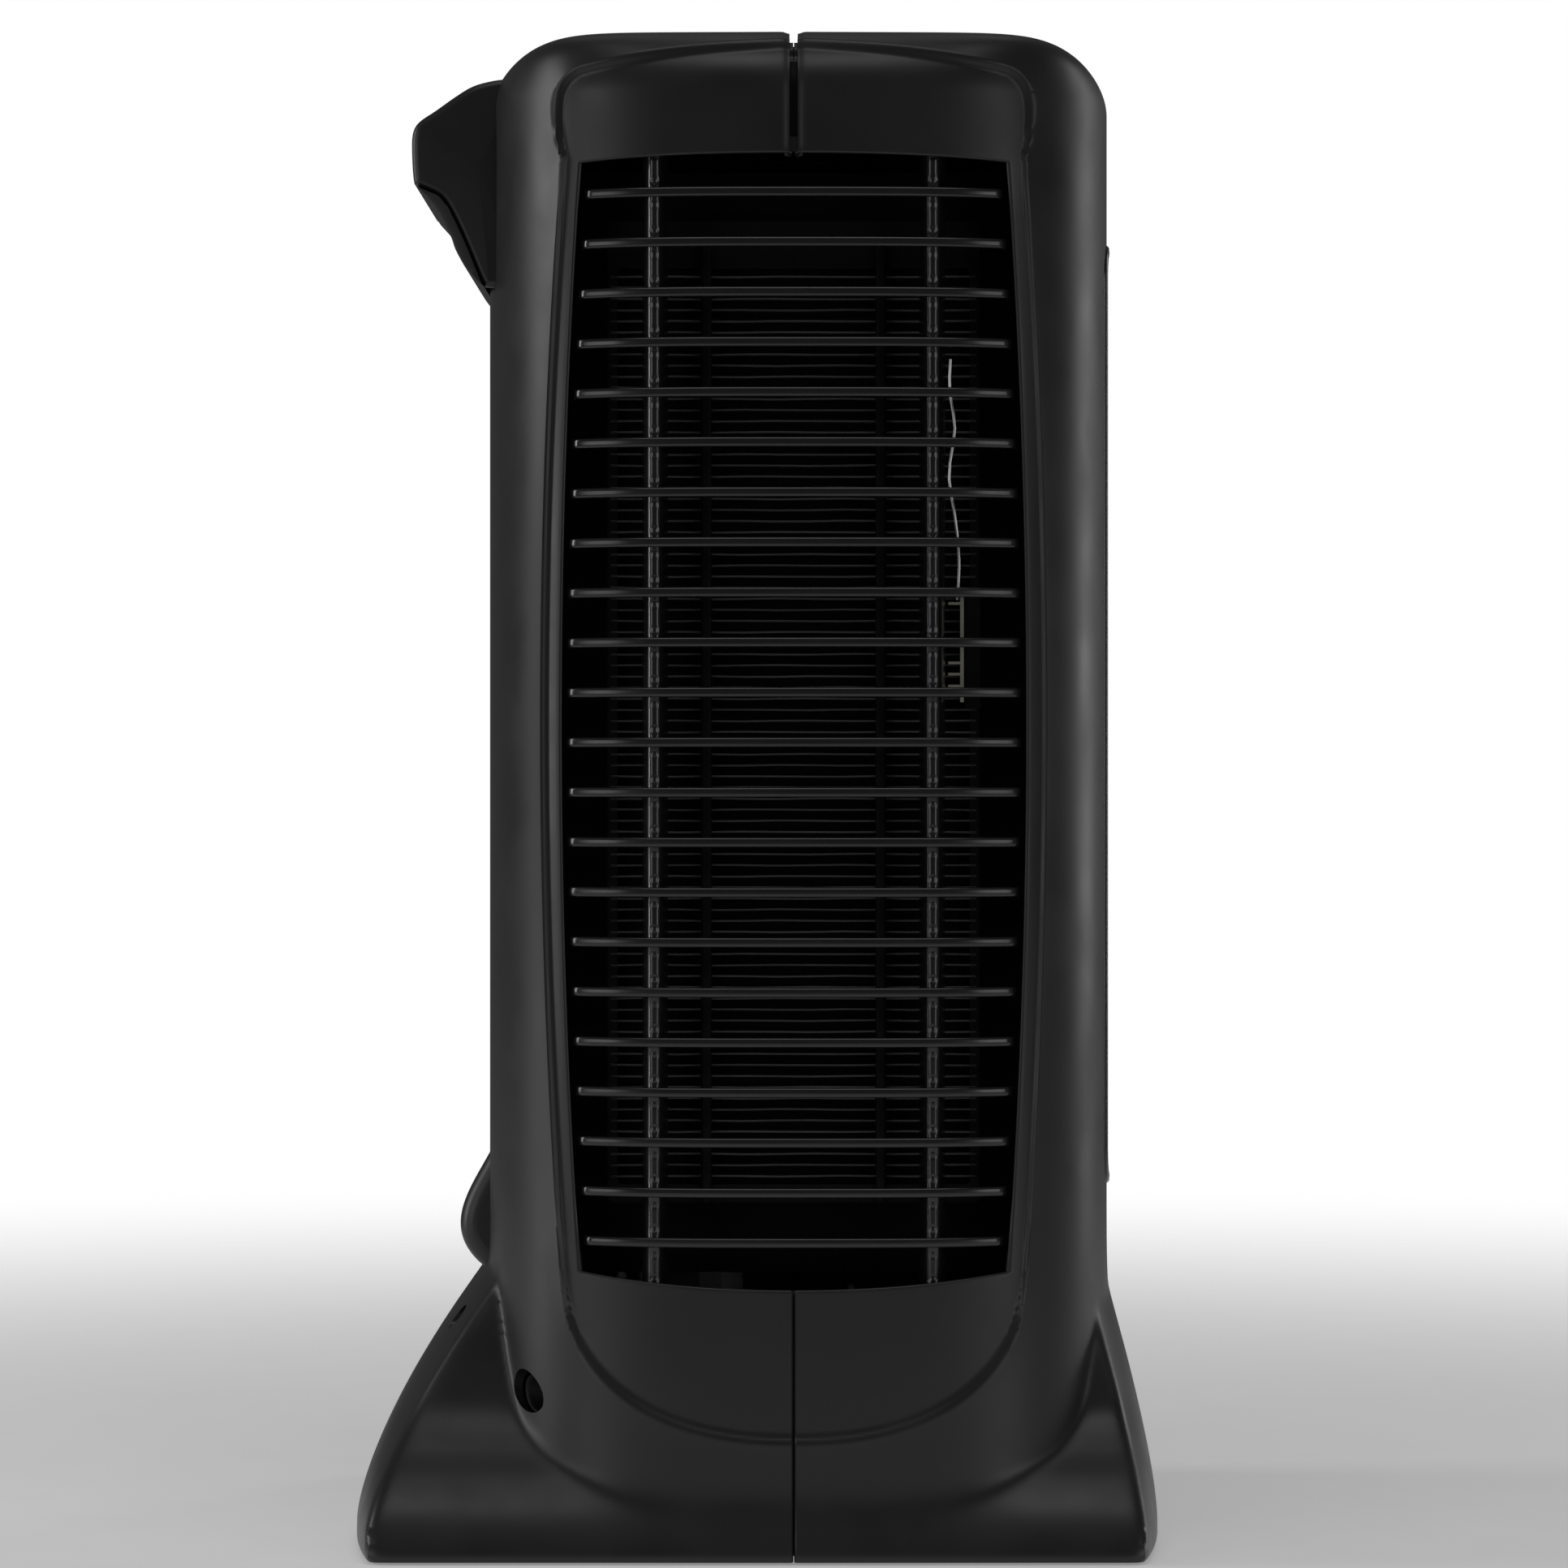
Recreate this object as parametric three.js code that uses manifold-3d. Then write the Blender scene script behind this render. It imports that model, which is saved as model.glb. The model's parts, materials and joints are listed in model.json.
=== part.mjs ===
// Upright ceramic space heater: two moulded shell halves on a flared base, louvred air inlets in both
// sides, a vertical cross-flow blower and a ceramic heating core behind the front outlet.
// Millimetres. +X is the front (warm air leaves there), +Y is the heater's left, +Z is up.
// The origin is on the floor, under the middle of the footprint.

import * as THREE from 'three';
import { ConvexGeometry } from 'three/addons/geometries/ConvexGeometry.js';
import { mergeVertices } from 'three/addons/utils/BufferGeometryUtils.js';
import Module from 'manifold-3d';

// ---- Overall sizes -------------------------------------------------------------------------------
const HEIGHT = 460;                 // floor to the top face
const BODY_DEPTH = 193.8;           // tower, front to back
const BODY_WIDTH = 212;             // tower, side to side
const BASE_DEPTH = 246.4;           // flared base, front to back
const BASE_WIDTH = 224;             // flared base, side to side
const BODY_X = BODY_DEPTH * 0.063;  // the tower stands a little ahead of the base's middle
const SEAM_X = BODY_X - 1.6;        // joint between the front and rear shells
const BODY_POWER = 3.4;             // roundness of the tower's plan outline (2 is an ellipse)
const BASE_POWER = 7;               // the base's plan outline is squarer
const BASE_HEIGHT = 82;             // where the flare runs out into the tower
const WALL = 2.6;                   // moulded wall
const FIT = 0.3;                    // clearance between neighbouring pieces
const RIM = 0.8;                    // shell rim above the floor
const TOP_ROUND_OUT = 26;           // top edge rounding, measured inward
const TOP_ROUND_DOWN = 19;          // top edge rounding, measured downward

// ---- Side inlets ---------------------------------------------------------------------------------
const LOUVRES = 22;
const OPEN_TOP = HEIGHT - 38.4;
const OPEN_BOTTOM = 81.4;
const OPEN_HALF = BODY_DEPTH * 0.3674;       // half length at mid height
const OPEN_NARROWING = 6.4;                  // the opening is narrower at its ends
const OPEN_SAG_TOP = 2;
const OPEN_SAG_BOTTOM = 4.9;
const LOUVRE_FROM_TOP = 11.3;
const LOUVRE_FROM_BOTTOM = 13.9;
const LOUVRE_HEIGHT = 2.6;
const LOUVRE_DEPTH = 9;
const LOUVRE_END_GAP = 2.6;
const LOUVRE_SUNK = 2.2;
const GRILLE_RIB_X = OPEN_HALF * 0.587;      // ribs that carry the louvres
const GRILLE_RIB_WIDTH = 4.4;
const RING_LAP = 5;                          // grille frame behind the shell wall
const RING_THICK = 2.4;
const PANEL_RECESS = 1.2;                    // step round the grille panel
const PANEL_BORDER = 4.6;
const PANEL_BOTTOM = 36.5;
const PANEL_TOP = HEIGHT - 8;
const GUARD_HALF = OPEN_HALF * 0.751;        // finned guard behind the louvres
const GUARD_FINS = 27;
const GUARD_FIN = 1;
const GUARD_THICK = 3;
const GUARD_FRAME = 3;
const GUARD_BAR_X = GUARD_HALF * 0.495;
const GUARD_BAR_WIDTH = 3.2;
const GUARD_BAR_THICK = 2.4;
const FILTER_HALF = OPEN_HALF + 4.8;         // foam pad that closes the whole inlet behind the guard
const FILTER_THICK = 3.6;
const FILTER_GAP = 0.9172;                   // between the pad's corner and the grille frame's inner face
const FRAME_INSET = WALL + FIT + RING_THICK;
const FRAME_RATIO = (BODY_X - SEAM_X + FILTER_HALF) / (BODY_DEPTH / 2 - FRAME_INSET);
const FRAME_Y = (BODY_WIDTH / 2 - FRAME_INSET) * (1 - FRAME_RATIO ** BODY_POWER) ** (1 / BODY_POWER);
const GUARD_Y = FRAME_Y - FILTER_GAP + FIT + GUARD_THICK;

// ---- Blower --------------------------------------------------------------------------------------
const DECK_THICK = 2.5;
const LOWER_DECK_Z = 103;
const UPPER_DECK_Z = HEIGHT - 56;
const DECK_HALF = GUARD_Y - GUARD_THICK - FILTER_THICK - 2 * FIT - FIT;
const WHEEL_RADIUS = BODY_DEPTH * 0.17;
const WHEEL_X = BODY_X - BODY_DEPTH * 0.16;
const WHEEL_BLADES = 14;
const BLADE_CHORD = 9;
const BLADE_THICK = 1.2;
const WHEEL_DISC = 3;
const WHEEL_END_CLEARANCE = 4;
const SHAFT_RADIUS = 3;
const SCROLL_THICK = 2;
const MOTOR_RADIUS = 27;
const MOTOR_HEIGHT = 44;
const BEARING_RADIUS = 8;
const BEARING_HEIGHT = 7;

// ---- Heating core and outlet ---------------------------------------------------------------------
const OUTLET_HALF = BODY_WIDTH * 0.222;
const OUTLET_TOP = HEIGHT - 63;
const OUTLET_BOTTOM = 112;
const OUTLET_CORNER = 8;
const OUTLET_SLATS = 19;
const OUTLET_SLAT = 2;
const OUTLET_DEPTH = 6;
const OUTLET_FRAME = 5;
const CORE_DEPTH = 18;
const CORE_FRAME = 3;
const BAR_THICK = 7;
const FIN_FOLDS = 20;
const FIN_SHEET = 1.2;               // measured across the pack, about 0.5 through the sheet

// ---- Top panel -----------------------------------------------------------------------------------
const CONTROL_LENGTH = BODY_DEPTH * 0.27;
const CONTROL_WIDTH = BODY_WIDTH * 0.42;
const CONTROL_X = SEAM_X + BODY_DEPTH * 0.07;
const CONTROL_CORNER = 9;
const CONTROL_SUNK = 0.9;
const CONTROL_FLANGE = 2.5;
const BUTTON_RADIUS = 5;
const BUTTON_FLANGE = 1.3;
const BUTTON_TRAVEL = 1.2;
const BOARD_THICK = 1.6;

// ---- Handle, cowl, base --------------------------------------------------------------------------
const HANDLE_WIDTH = BODY_WIDTH * 0.547;
const HANDLE_REACH = 22;            // beyond the tower's back face
const HANDLE_WALL = 3.4;
const HANDLE_TOP = HEIGHT - 9.6;
const HANDLE_SLOT = BODY_WIDTH * 0.43;
const COWL_WIDTH = 66;
const COWL_REACH = 9;
const COWL_BOTTOM = 80;
const COWL_TOP = 120;
const PLATE_Z = 3;
const PLATE_THICK = 2.5;
const FOOT_RADIUS = 9;
const FOOT_STEM = 3;
const PLUNGER_RADIUS = 4;
const PLUNGER_TRAVEL = 4;
const CORD_HOLE = 6.2;
const SCREW_RADIUS = 1.7;
const SCREW_HEAD = 3.4;
const BOSS_RADIUS = 5;

// ---- Solids --------------------------------------------------------------------------------------
const wasm = await Module();
wasm.setup();

function solid(geometry) {
  const plain = geometry.index ? geometry.toNonIndexed() : geometry;
  plain.deleteAttribute('normal');
  plain.deleteAttribute('uv');
  const merged = mergeVertices(plain, 1e-4);
  const source = new wasm.Mesh({
    numProp: 3,
    vertProperties: merged.attributes.position.array,
    triVerts: merged.index.array,
  });
  return new wasm.Manifold(source);
}

// An outline drawn in plan (x, y), carried up from z0 to z1.
function uprightPrism(points, z0, z1, holes = []) {
  const shape = new THREE.Shape(points);
  shape.holes = holes.map((hole) => new THREE.Path(hole));
  const geometry = new THREE.ExtrudeGeometry(shape, { depth: z1 - z0, bevelEnabled: false });
  return solid(geometry.translate(0, 0, z0));
}

// An outline drawn in side view (x, z), carried across from y0 to y1.
function sidePrism(points, y0, y1, holes = []) {
  const shape = new THREE.Shape(points);
  shape.holes = holes.map((hole) => new THREE.Path(hole));
  const geometry = new THREE.ExtrudeGeometry(shape, { depth: y1 - y0, bevelEnabled: false });
  return solid(geometry.rotateX(Math.PI / 2).translate(0, y1, 0));
}

// An outline drawn in front view (y, z), carried forward from x0 to x1.
function frontPrism(points, x0, x1, holes = []) {
  const shape = new THREE.Shape(points);
  shape.holes = holes.map((hole) => new THREE.Path(hole));
  const geometry = new THREE.ExtrudeGeometry(shape, { depth: x1 - x0, bevelEnabled: false });
  const turn = new THREE.Matrix4().makeBasis(
    new THREE.Vector3(0, 1, 0),
    new THREE.Vector3(0, 0, 1),
    new THREE.Vector3(1, 0, 0),
  );
  return solid(geometry.applyMatrix4(turn).translate(x0, 0, 0));
}

function block(x0, x1, y0, y1, z0, z1) {
  const geometry = new THREE.BoxGeometry(x1 - x0, y1 - y0, z1 - z0);
  return solid(geometry.translate((x0 + x1) / 2, (y0 + y1) / 2, (z0 + z1) / 2));
}

function post(radius, z0, z1, x, y, sides = 16) {
  const geometry = new THREE.CylinderGeometry(radius, radius, z1 - z0, sides);
  return solid(geometry.rotateX(Math.PI / 2).translate(x, y, (z0 + z1) / 2));
}

function rod(radius, x0, x1, y, z, sides = 12) {
  const geometry = new THREE.CylinderGeometry(radius, radius, x1 - x0, sides);
  return solid(geometry.rotateZ(Math.PI / 2).translate((x0 + x1) / 2, y, z));
}

// A turned piece on a vertical axis; the profile is a closed list of (radius, height).
function turned(profile, x, y, sides = 16) {
  const points = profile.map(([radius, height]) => new THREE.Vector2(radius, height));
  const geometry = new THREE.LatheGeometry(points, sides);
  return solid(geometry.rotateX(Math.PI / 2).translate(x, y, 0));
}

function joined(pieces) {
  return pieces.reduce((sum, piece) => sum.add(piece));
}

// Closed outline |x/a|^n + |y/b|^n = 1 about (cx, 0).
function superEllipse(cx, a, b, power, count) {
  const points = [];
  for (let i = 0; i < count; i += 1) {
    const angle = (2 * Math.PI * (i + 0.5)) / count;
    const c = Math.cos(angle);
    const s = Math.sin(angle);
    const x = cx + a * Math.sign(c) * Math.abs(c) ** (2 / power);
    const y = b * Math.sign(s) * Math.abs(s) ** (2 / power);
    points.push(new THREE.Vector2(x, y));
  }
  return points;
}

function roundedOutline(u0, u1, v0, v1, radius, steps = 3) {
  const centres = [[u1 - radius, v1 - radius], [u0 + radius, v1 - radius]];
  centres.push([u0 + radius, v0 + radius], [u1 - radius, v0 + radius]);
  const points = [];
  centres.forEach(([u, v], corner) => {
    for (let i = 0; i <= steps; i += 1) {
      const angle = (Math.PI / 2) * (corner + i / steps);
      points.push(new THREE.Vector2(u + radius * Math.cos(angle), v + radius * Math.sin(angle)));
    }
  });
  return points;
}

// Stack of convex slices between neighbouring level outlines.
function loft(levels) {
  const slices = [];
  for (let i = 1; i < levels.length; i += 1) {
    const points = [];
    [levels[i - 1], levels[i]].forEach((level) => {
      level.outline.forEach((p) => points.push(new THREE.Vector3(p.x, p.y, level.z)));
    });
    slices.push(solid(new ConvexGeometry(points)));
  }
  return joined(slices);
}

// ---- Tower and base envelopes --------------------------------------------------------------------
const bodyHalfDepth = BODY_DEPTH / 2;
const bodyHalfWidth = BODY_WIDTH / 2;
const BODY_SIDES = 32;
const BASE_SIDES = 24;

function tower(inset, bottom) {
  const levels = [];
  const top = HEIGHT - inset;
  const section = (z, shrink) => {
    const a = bodyHalfDepth - inset - shrink;
    const b = bodyHalfWidth - inset - shrink;
    levels.push({ z, outline: superEllipse(BODY_X, a, b, BODY_POWER, BODY_SIDES) });
  };
  section(bottom, 0);
  const steps = 4;
  for (let i = 0; i <= steps; i += 1) {
    const angle = (Math.PI / 2) * (i / steps);
    const shrink = TOP_ROUND_OUT * (1 - Math.cos(angle));
    section(top - TOP_ROUND_DOWN * (1 - Math.sin(angle)), shrink);
  }
  return loft(levels);
}

// Half width of the tower at a distance dx from its middle, for a wall moved in by inset.
function towerSide(dx, inset) {
  const ratio = Math.abs(dx) / (bodyHalfDepth - inset);
  return (bodyHalfWidth - inset) * (1 - ratio ** BODY_POWER) ** (1 / BODY_POWER);
}

// Outward reach of the front or back wall at a distance y from the middle plane.
function towerReach(y, inset) {
  const ratio = Math.abs(y) / (bodyHalfWidth - inset);
  return (bodyHalfDepth - inset) * (1 - ratio ** BODY_POWER) ** (1 / BODY_POWER);
}

function baseOutline(z, inset) {
  const t = Math.max(0, (z - 8) / (BASE_HEIGHT - 8));
  const rise = t ** 1.45;
  const edge = inset < 1 && z < 4 ? 1.6 * (1 - z / 4) : 0;
  const back = -BASE_DEPTH / 2 + 38.2 * rise + edge + inset;
  const front = BASE_DEPTH / 2 - 16.4 * rise - edge - inset;
  const half = BASE_WIDTH / 2 - 50 * t ** 0.65 - edge - inset;
  return superEllipse((front + back) / 2, (front - back) / 2, half, BASE_POWER, BASE_SIDES);
}

function base(inset, bottom) {
  const levels = [bottom, 4, 12, 28, 54, BASE_HEIGHT, BASE_HEIGHT + 10];
  return loft(levels.map((z) => ({ z, outline: baseOutline(Math.min(z, BASE_HEIGHT + 10), inset) })));
}

// ---- Side opening --------------------------------------------------------------------------------
const openMid = (OPEN_TOP + OPEN_BOTTOM) / 2;

function openHalf(z) {
  const t = (z - openMid) / ((OPEN_TOP - OPEN_BOTTOM) / 2);
  return OPEN_HALF - OPEN_NARROWING * t * t;
}

// Barrel outline of the side opening, grown outward by a margin.
function openingOutline(grow, bottom = OPEN_BOTTOM, top = OPEN_TOP) {
  const points = [];
  const steps = 6;
  for (let i = 0; i <= steps; i += 1) {
    const u = -1 + (2 * i) / steps;
    const half = openHalf(OPEN_BOTTOM + OPEN_SAG_BOTTOM) + grow;
    const z = bottom + OPEN_SAG_BOTTOM * u * u - grow;
    points.push(new THREE.Vector2(SEAM_X + half * u, z));
  }
  for (let i = 1; i < steps; i += 1) {
    const low = bottom + OPEN_SAG_BOTTOM - grow;
    const high = top - OPEN_SAG_TOP + grow;
    const z = low + ((high - low) * i) / steps;
    points.push(new THREE.Vector2(SEAM_X + openHalf(z) + grow, z));
  }
  for (let i = 0; i <= steps; i += 1) {
    const u = 1 - (2 * i) / steps;
    const half = openHalf(OPEN_TOP - OPEN_SAG_TOP) + grow;
    const z = top - OPEN_SAG_TOP * u * u + grow;
    points.push(new THREE.Vector2(SEAM_X + half * u, z));
  }
  for (let i = 1; i < steps; i += 1) {
    const low = bottom + OPEN_SAG_BOTTOM - grow;
    const high = top - OPEN_SAG_TOP + grow;
    const z = high + ((low - high) * i) / steps;
    points.push(new THREE.Vector2(SEAM_X - openHalf(z) - grow, z));
  }
  return points;
}

// Outline of the sunk panel: straight-sided round the grille, a wide U below it.
function panelOutline() {
  const half = OPEN_HALF + PANEL_BORDER;
  const points = [];
  const steps = 12;
  for (let i = 0; i <= steps; i += 1) {
    const angle = Math.PI * (1 + i / steps);
    const x = half * 0.93 * Math.sign(Math.cos(angle)) * Math.abs(Math.cos(angle)) ** 0.6;
    const z = OPEN_BOTTOM + (OPEN_BOTTOM - PANEL_BOTTOM) * Math.sin(angle);
    points.push(new THREE.Vector2(SEAM_X + x, z));
  }
  points.push(new THREE.Vector2(SEAM_X + half, openMid));
  points.push(new THREE.Vector2(SEAM_X + half * 0.92, PANEL_TOP - 10));
  points.push(new THREE.Vector2(SEAM_X + half * 0.84, PANEL_TOP - 3));
  points.push(new THREE.Vector2(SEAM_X, PANEL_TOP));
  points.push(new THREE.Vector2(SEAM_X - half * 0.84, PANEL_TOP - 3));
  points.push(new THREE.Vector2(SEAM_X - half * 0.92, PANEL_TOP - 10));
  points.push(new THREE.Vector2(SEAM_X - half, openMid));
  return points;
}

// ---- Places shared by several pieces -------------------------------------------------------------
const far = BASE_DEPTH;
const sides = [-1, 1];
const bodyBack = BODY_X - bodyHalfDepth;
const outletFront = BODY_X + towerReach(OUTLET_HALF + OUTLET_FRAME, WALL) - FIT;
const coreFront = outletFront - OUTLET_DEPTH + 1.4;
const coreBack = coreFront - CORE_DEPTH;
const coreBottom = LOWER_DECK_Z + DECK_THICK + FIT;
const coreTop = UPPER_DECK_Z - FIT;
const coreHalf = OUTLET_HALF + 3;
const panelX0 = CONTROL_X;
const panelX1 = CONTROL_X + CONTROL_LENGTH;
const panelTop = HEIGHT - CONTROL_SUNK;
const flangeTop = HEIGHT - WALL - FIT;
const panelBottom = flangeTop - 2;
const buttonBottom = panelBottom - FIT - BUTTON_FLANGE;
const boardTop = buttonBottom - BUTTON_TRAVEL - 4.2;
const boardBottom = boardTop - BOARD_THICK;
const plateTop = PLATE_Z + PLATE_THICK;
const rearScrewY = bodyHalfWidth * 0.47;
const rearScrewZ = [68, HEIGHT - 25];
const baseScrewX = [-BASE_DEPTH * 0.36, BASE_DEPTH * 0.37];
const baseScrewY = BASE_WIDTH * 0.335;
const footX = BASE_DEPTH * 0.4;
const footY = BASE_WIDTH * 0.22;
const plungerX = BASE_DEPTH * 0.2;
const buttonX = panelX0 + CONTROL_LENGTH * 0.3;
const buttonStep = CONTROL_WIDTH * 0.19;
const cordX = -BODY_DEPTH * 0.363;
const cordY = -towerSide(cordX - BODY_X, 0);
const cordZ = 49.7;

// ---- Colours -------------------------------------------------------------------------------------
function surface(color, roughness, metalness = 0) {
  return new THREE.MeshStandardMaterial({ color, roughness, metalness });
}
const satinBlack = () => surface(0x222223, 0.42);
const gripBlack = () => surface(0x2e2e2d, 0.6);
const glossBlack = () => surface(0x101011, 0.22);
const rubber = () => surface(0x161616, 0.9);
const steel = () => surface(0xa8abb0, 0.35, 1);
const aluminium = () => surface(0xb9bcc0, 0.45, 1);
const brass = () => surface(0xb08d45, 0.35, 1);
const ceramic = () => surface(0xd8d2c4, 0.7);
const darkPlastic = () => surface(0x19191a, 0.65);
const fibreBoard = () => surface(0x2c4a33, 0.6);

const group = new THREE.Group();

function place(name, shape, material) {
  const source = shape.getMesh();
  const geometry = new THREE.BufferGeometry();
  geometry.setAttribute('position', new THREE.BufferAttribute(Float32Array.from(source.vertProperties), 3));
  geometry.setIndex(Array.from(source.triVerts));
  const mesh = new THREE.Mesh(geometry, material);
  mesh.name = name;
  group.add(mesh);
}

// ---- Shells --------------------------------------------------------------------------------------
const outer = tower(0, 6).add(base(0, RIM));
const hollow = tower(WALL, -5).add(base(WALL, -5));
let shells = outer.subtract(hollow);

// Thicker band behind the seam, deep enough for the styling groove over the top.
const band = tower(0, OPEN_TOP).subtract(tower(WALL + 3.4, OPEN_TOP - 10));
shells = shells.add(band.intersect(block(SEAM_X - 5, SEAM_X + 5, -far, far, OPEN_TOP + RING_LAP + 0.6, HEIGHT + 5)));
const grooveSkin = tower(-5, OPEN_TOP - 20).subtract(tower(3, OPEN_TOP - 30));
const grooveRun = block(SEAM_X - 1.25, SEAM_X + 1.25, -far, far, OPEN_TOP - 5, HEIGHT + 9);
shells = shells.subtract(grooveSkin.intersect(grooveRun));

// Sunk panel and opening in each side.
const panelSkin = tower(-4, 8).subtract(tower(PANEL_RECESS, 7));
shells = shells.subtract(panelSkin.intersect(sidePrism(panelOutline(), -far, far)));
shells = shells.subtract(sidePrism(openingOutline(0), -far, far));

// Front outlet, opening for the top panel, cord hole.
const outletHole = roundedOutline(-OUTLET_HALF, OUTLET_HALF, OUTLET_BOTTOM, OUTLET_TOP, OUTLET_CORNER);
shells = shells.subtract(frontPrism(outletHole, BODY_X + 20, far));
const panelHole = roundedOutline(
  panelX0 - FIT, panelX1 + FIT, -CONTROL_WIDTH / 2 - FIT, CONTROL_WIDTH / 2 + FIT, CONTROL_CORNER,
);
shells = shells.subtract(uprightPrism(panelHole, HEIGHT - 20, HEIGHT + 5));
shells = shells.subtract(rod(CORD_HOLE + FIT, -far, cordX + 22, cordY, cordZ, 14));

// Bosses: four under the base plate screws, four along the seam for the shell screws.
let bosses = null;
const addBoss = (piece) => {
  bosses = bosses ? bosses.add(piece) : piece;
};
baseScrewX.forEach((x) => {
  sides.forEach((side) => {
    const y = side * baseScrewY;
    const webX = Math.sign(x) * far;
    addBoss(post(BOSS_RADIUS, plateTop + FIT, 30, x, y, 8));
    addBoss(block(Math.min(x, webX), Math.max(x, webX), y - 1.2, y + 1.2, plateTop + FIT, 30));
  });
});
rearScrewZ.forEach((z) => {
  sides.forEach((side) => {
    const y = side * rearScrewY;
    addBoss(rod(BOSS_RADIUS, -far, SEAM_X + 16, y, z, 8));
    const wallY = side * far;
    addBoss(block(SEAM_X - 14, SEAM_X + 14, Math.min(y, wallY), Math.max(y, wallY), z - 1.2, z + 1.2));
  });
});
const inside = tower(0.6, 6).add(base(0.6, RIM));
shells = shells.add(bosses.intersect(inside));
baseScrewX.forEach((x) => {
  sides.forEach((side) => {
    shells = shells.subtract(post(SCREW_RADIUS + FIT, -1, 24, x, side * baseScrewY, 8));
  });
});
rearScrewZ.forEach((z) => {
  sides.forEach((side) => {
    const y = side * rearScrewY;
    shells = shells.subtract(rod(SCREW_HEAD + FIT, -far, SEAM_X - 8, y, z, 8));
    shells = shells.subtract(rod(SCREW_RADIUS + FIT, SEAM_X - 10, SEAM_X + 12, y, z, 8));
  });
});

const frontHalf = block(SEAM_X + FIT / 2, far, -far, far, -20, HEIGHT + 20);
const rearHalf = block(-far, SEAM_X - FIT / 2, -far, far, -20, HEIGHT + 20);
place('front_shell', shells.intersect(frontHalf), satinBlack());
place('rear_shell', shells.intersect(rearHalf), satinBlack());

rearScrewZ.forEach((z, row) => {
  sides.forEach((side) => {
    const y = side * rearScrewY;
    const head = rod(SCREW_HEAD, SEAM_X - 11, SEAM_X - 8 - FIT, y, z, 8);
    const shank = rod(SCREW_RADIUS, SEAM_X - 9, SEAM_X + 11, y, z, 8);
    const level = row === 0 ? 'lower' : 'upper';
    const hand = side < 0 ? 'right' : 'left';
    place(`shell_screw_${level}_${hand}`, head.add(shank), steel());
  });
});

// ---- Side grilles and guards ---------------------------------------------------------------------
const louvreTop = OPEN_TOP - LOUVRE_FROM_TOP;
const louvreBottom = OPEN_BOTTOM + LOUVRE_FROM_BOTTOM;
const louvrePitch = (louvreTop - louvreBottom) / (LOUVRES - 1);

// Plan outline of one bowed louvre at height z: the tower's curve in front, a parallel one behind.
function louvreOutline(z, side) {
  const half = openHalf(z) - LOUVRE_END_GAP;
  const steps = 4;
  const front = [];
  const back = [];
  for (let i = 0; i <= steps; i += 1) {
    const x = SEAM_X - half + (2 * half * i) / steps;
    const y = towerSide(x - BODY_X, LOUVRE_SUNK);
    front.push(new THREE.Vector2(x, side * y));
    back.unshift(new THREE.Vector2(x, side * (y - LOUVRE_DEPTH)));
  }
  return front.concat(back);
}

const ringOuter = tower(WALL + FIT, 20).subtract(tower(WALL + FIT + RING_THICK, 10));
const ringRun = sidePrism(openingOutline(RING_LAP), -far, far).subtract(sidePrism(openingOutline(0.5), -far, far));
const rings = ringOuter.intersect(ringRun);

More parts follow.
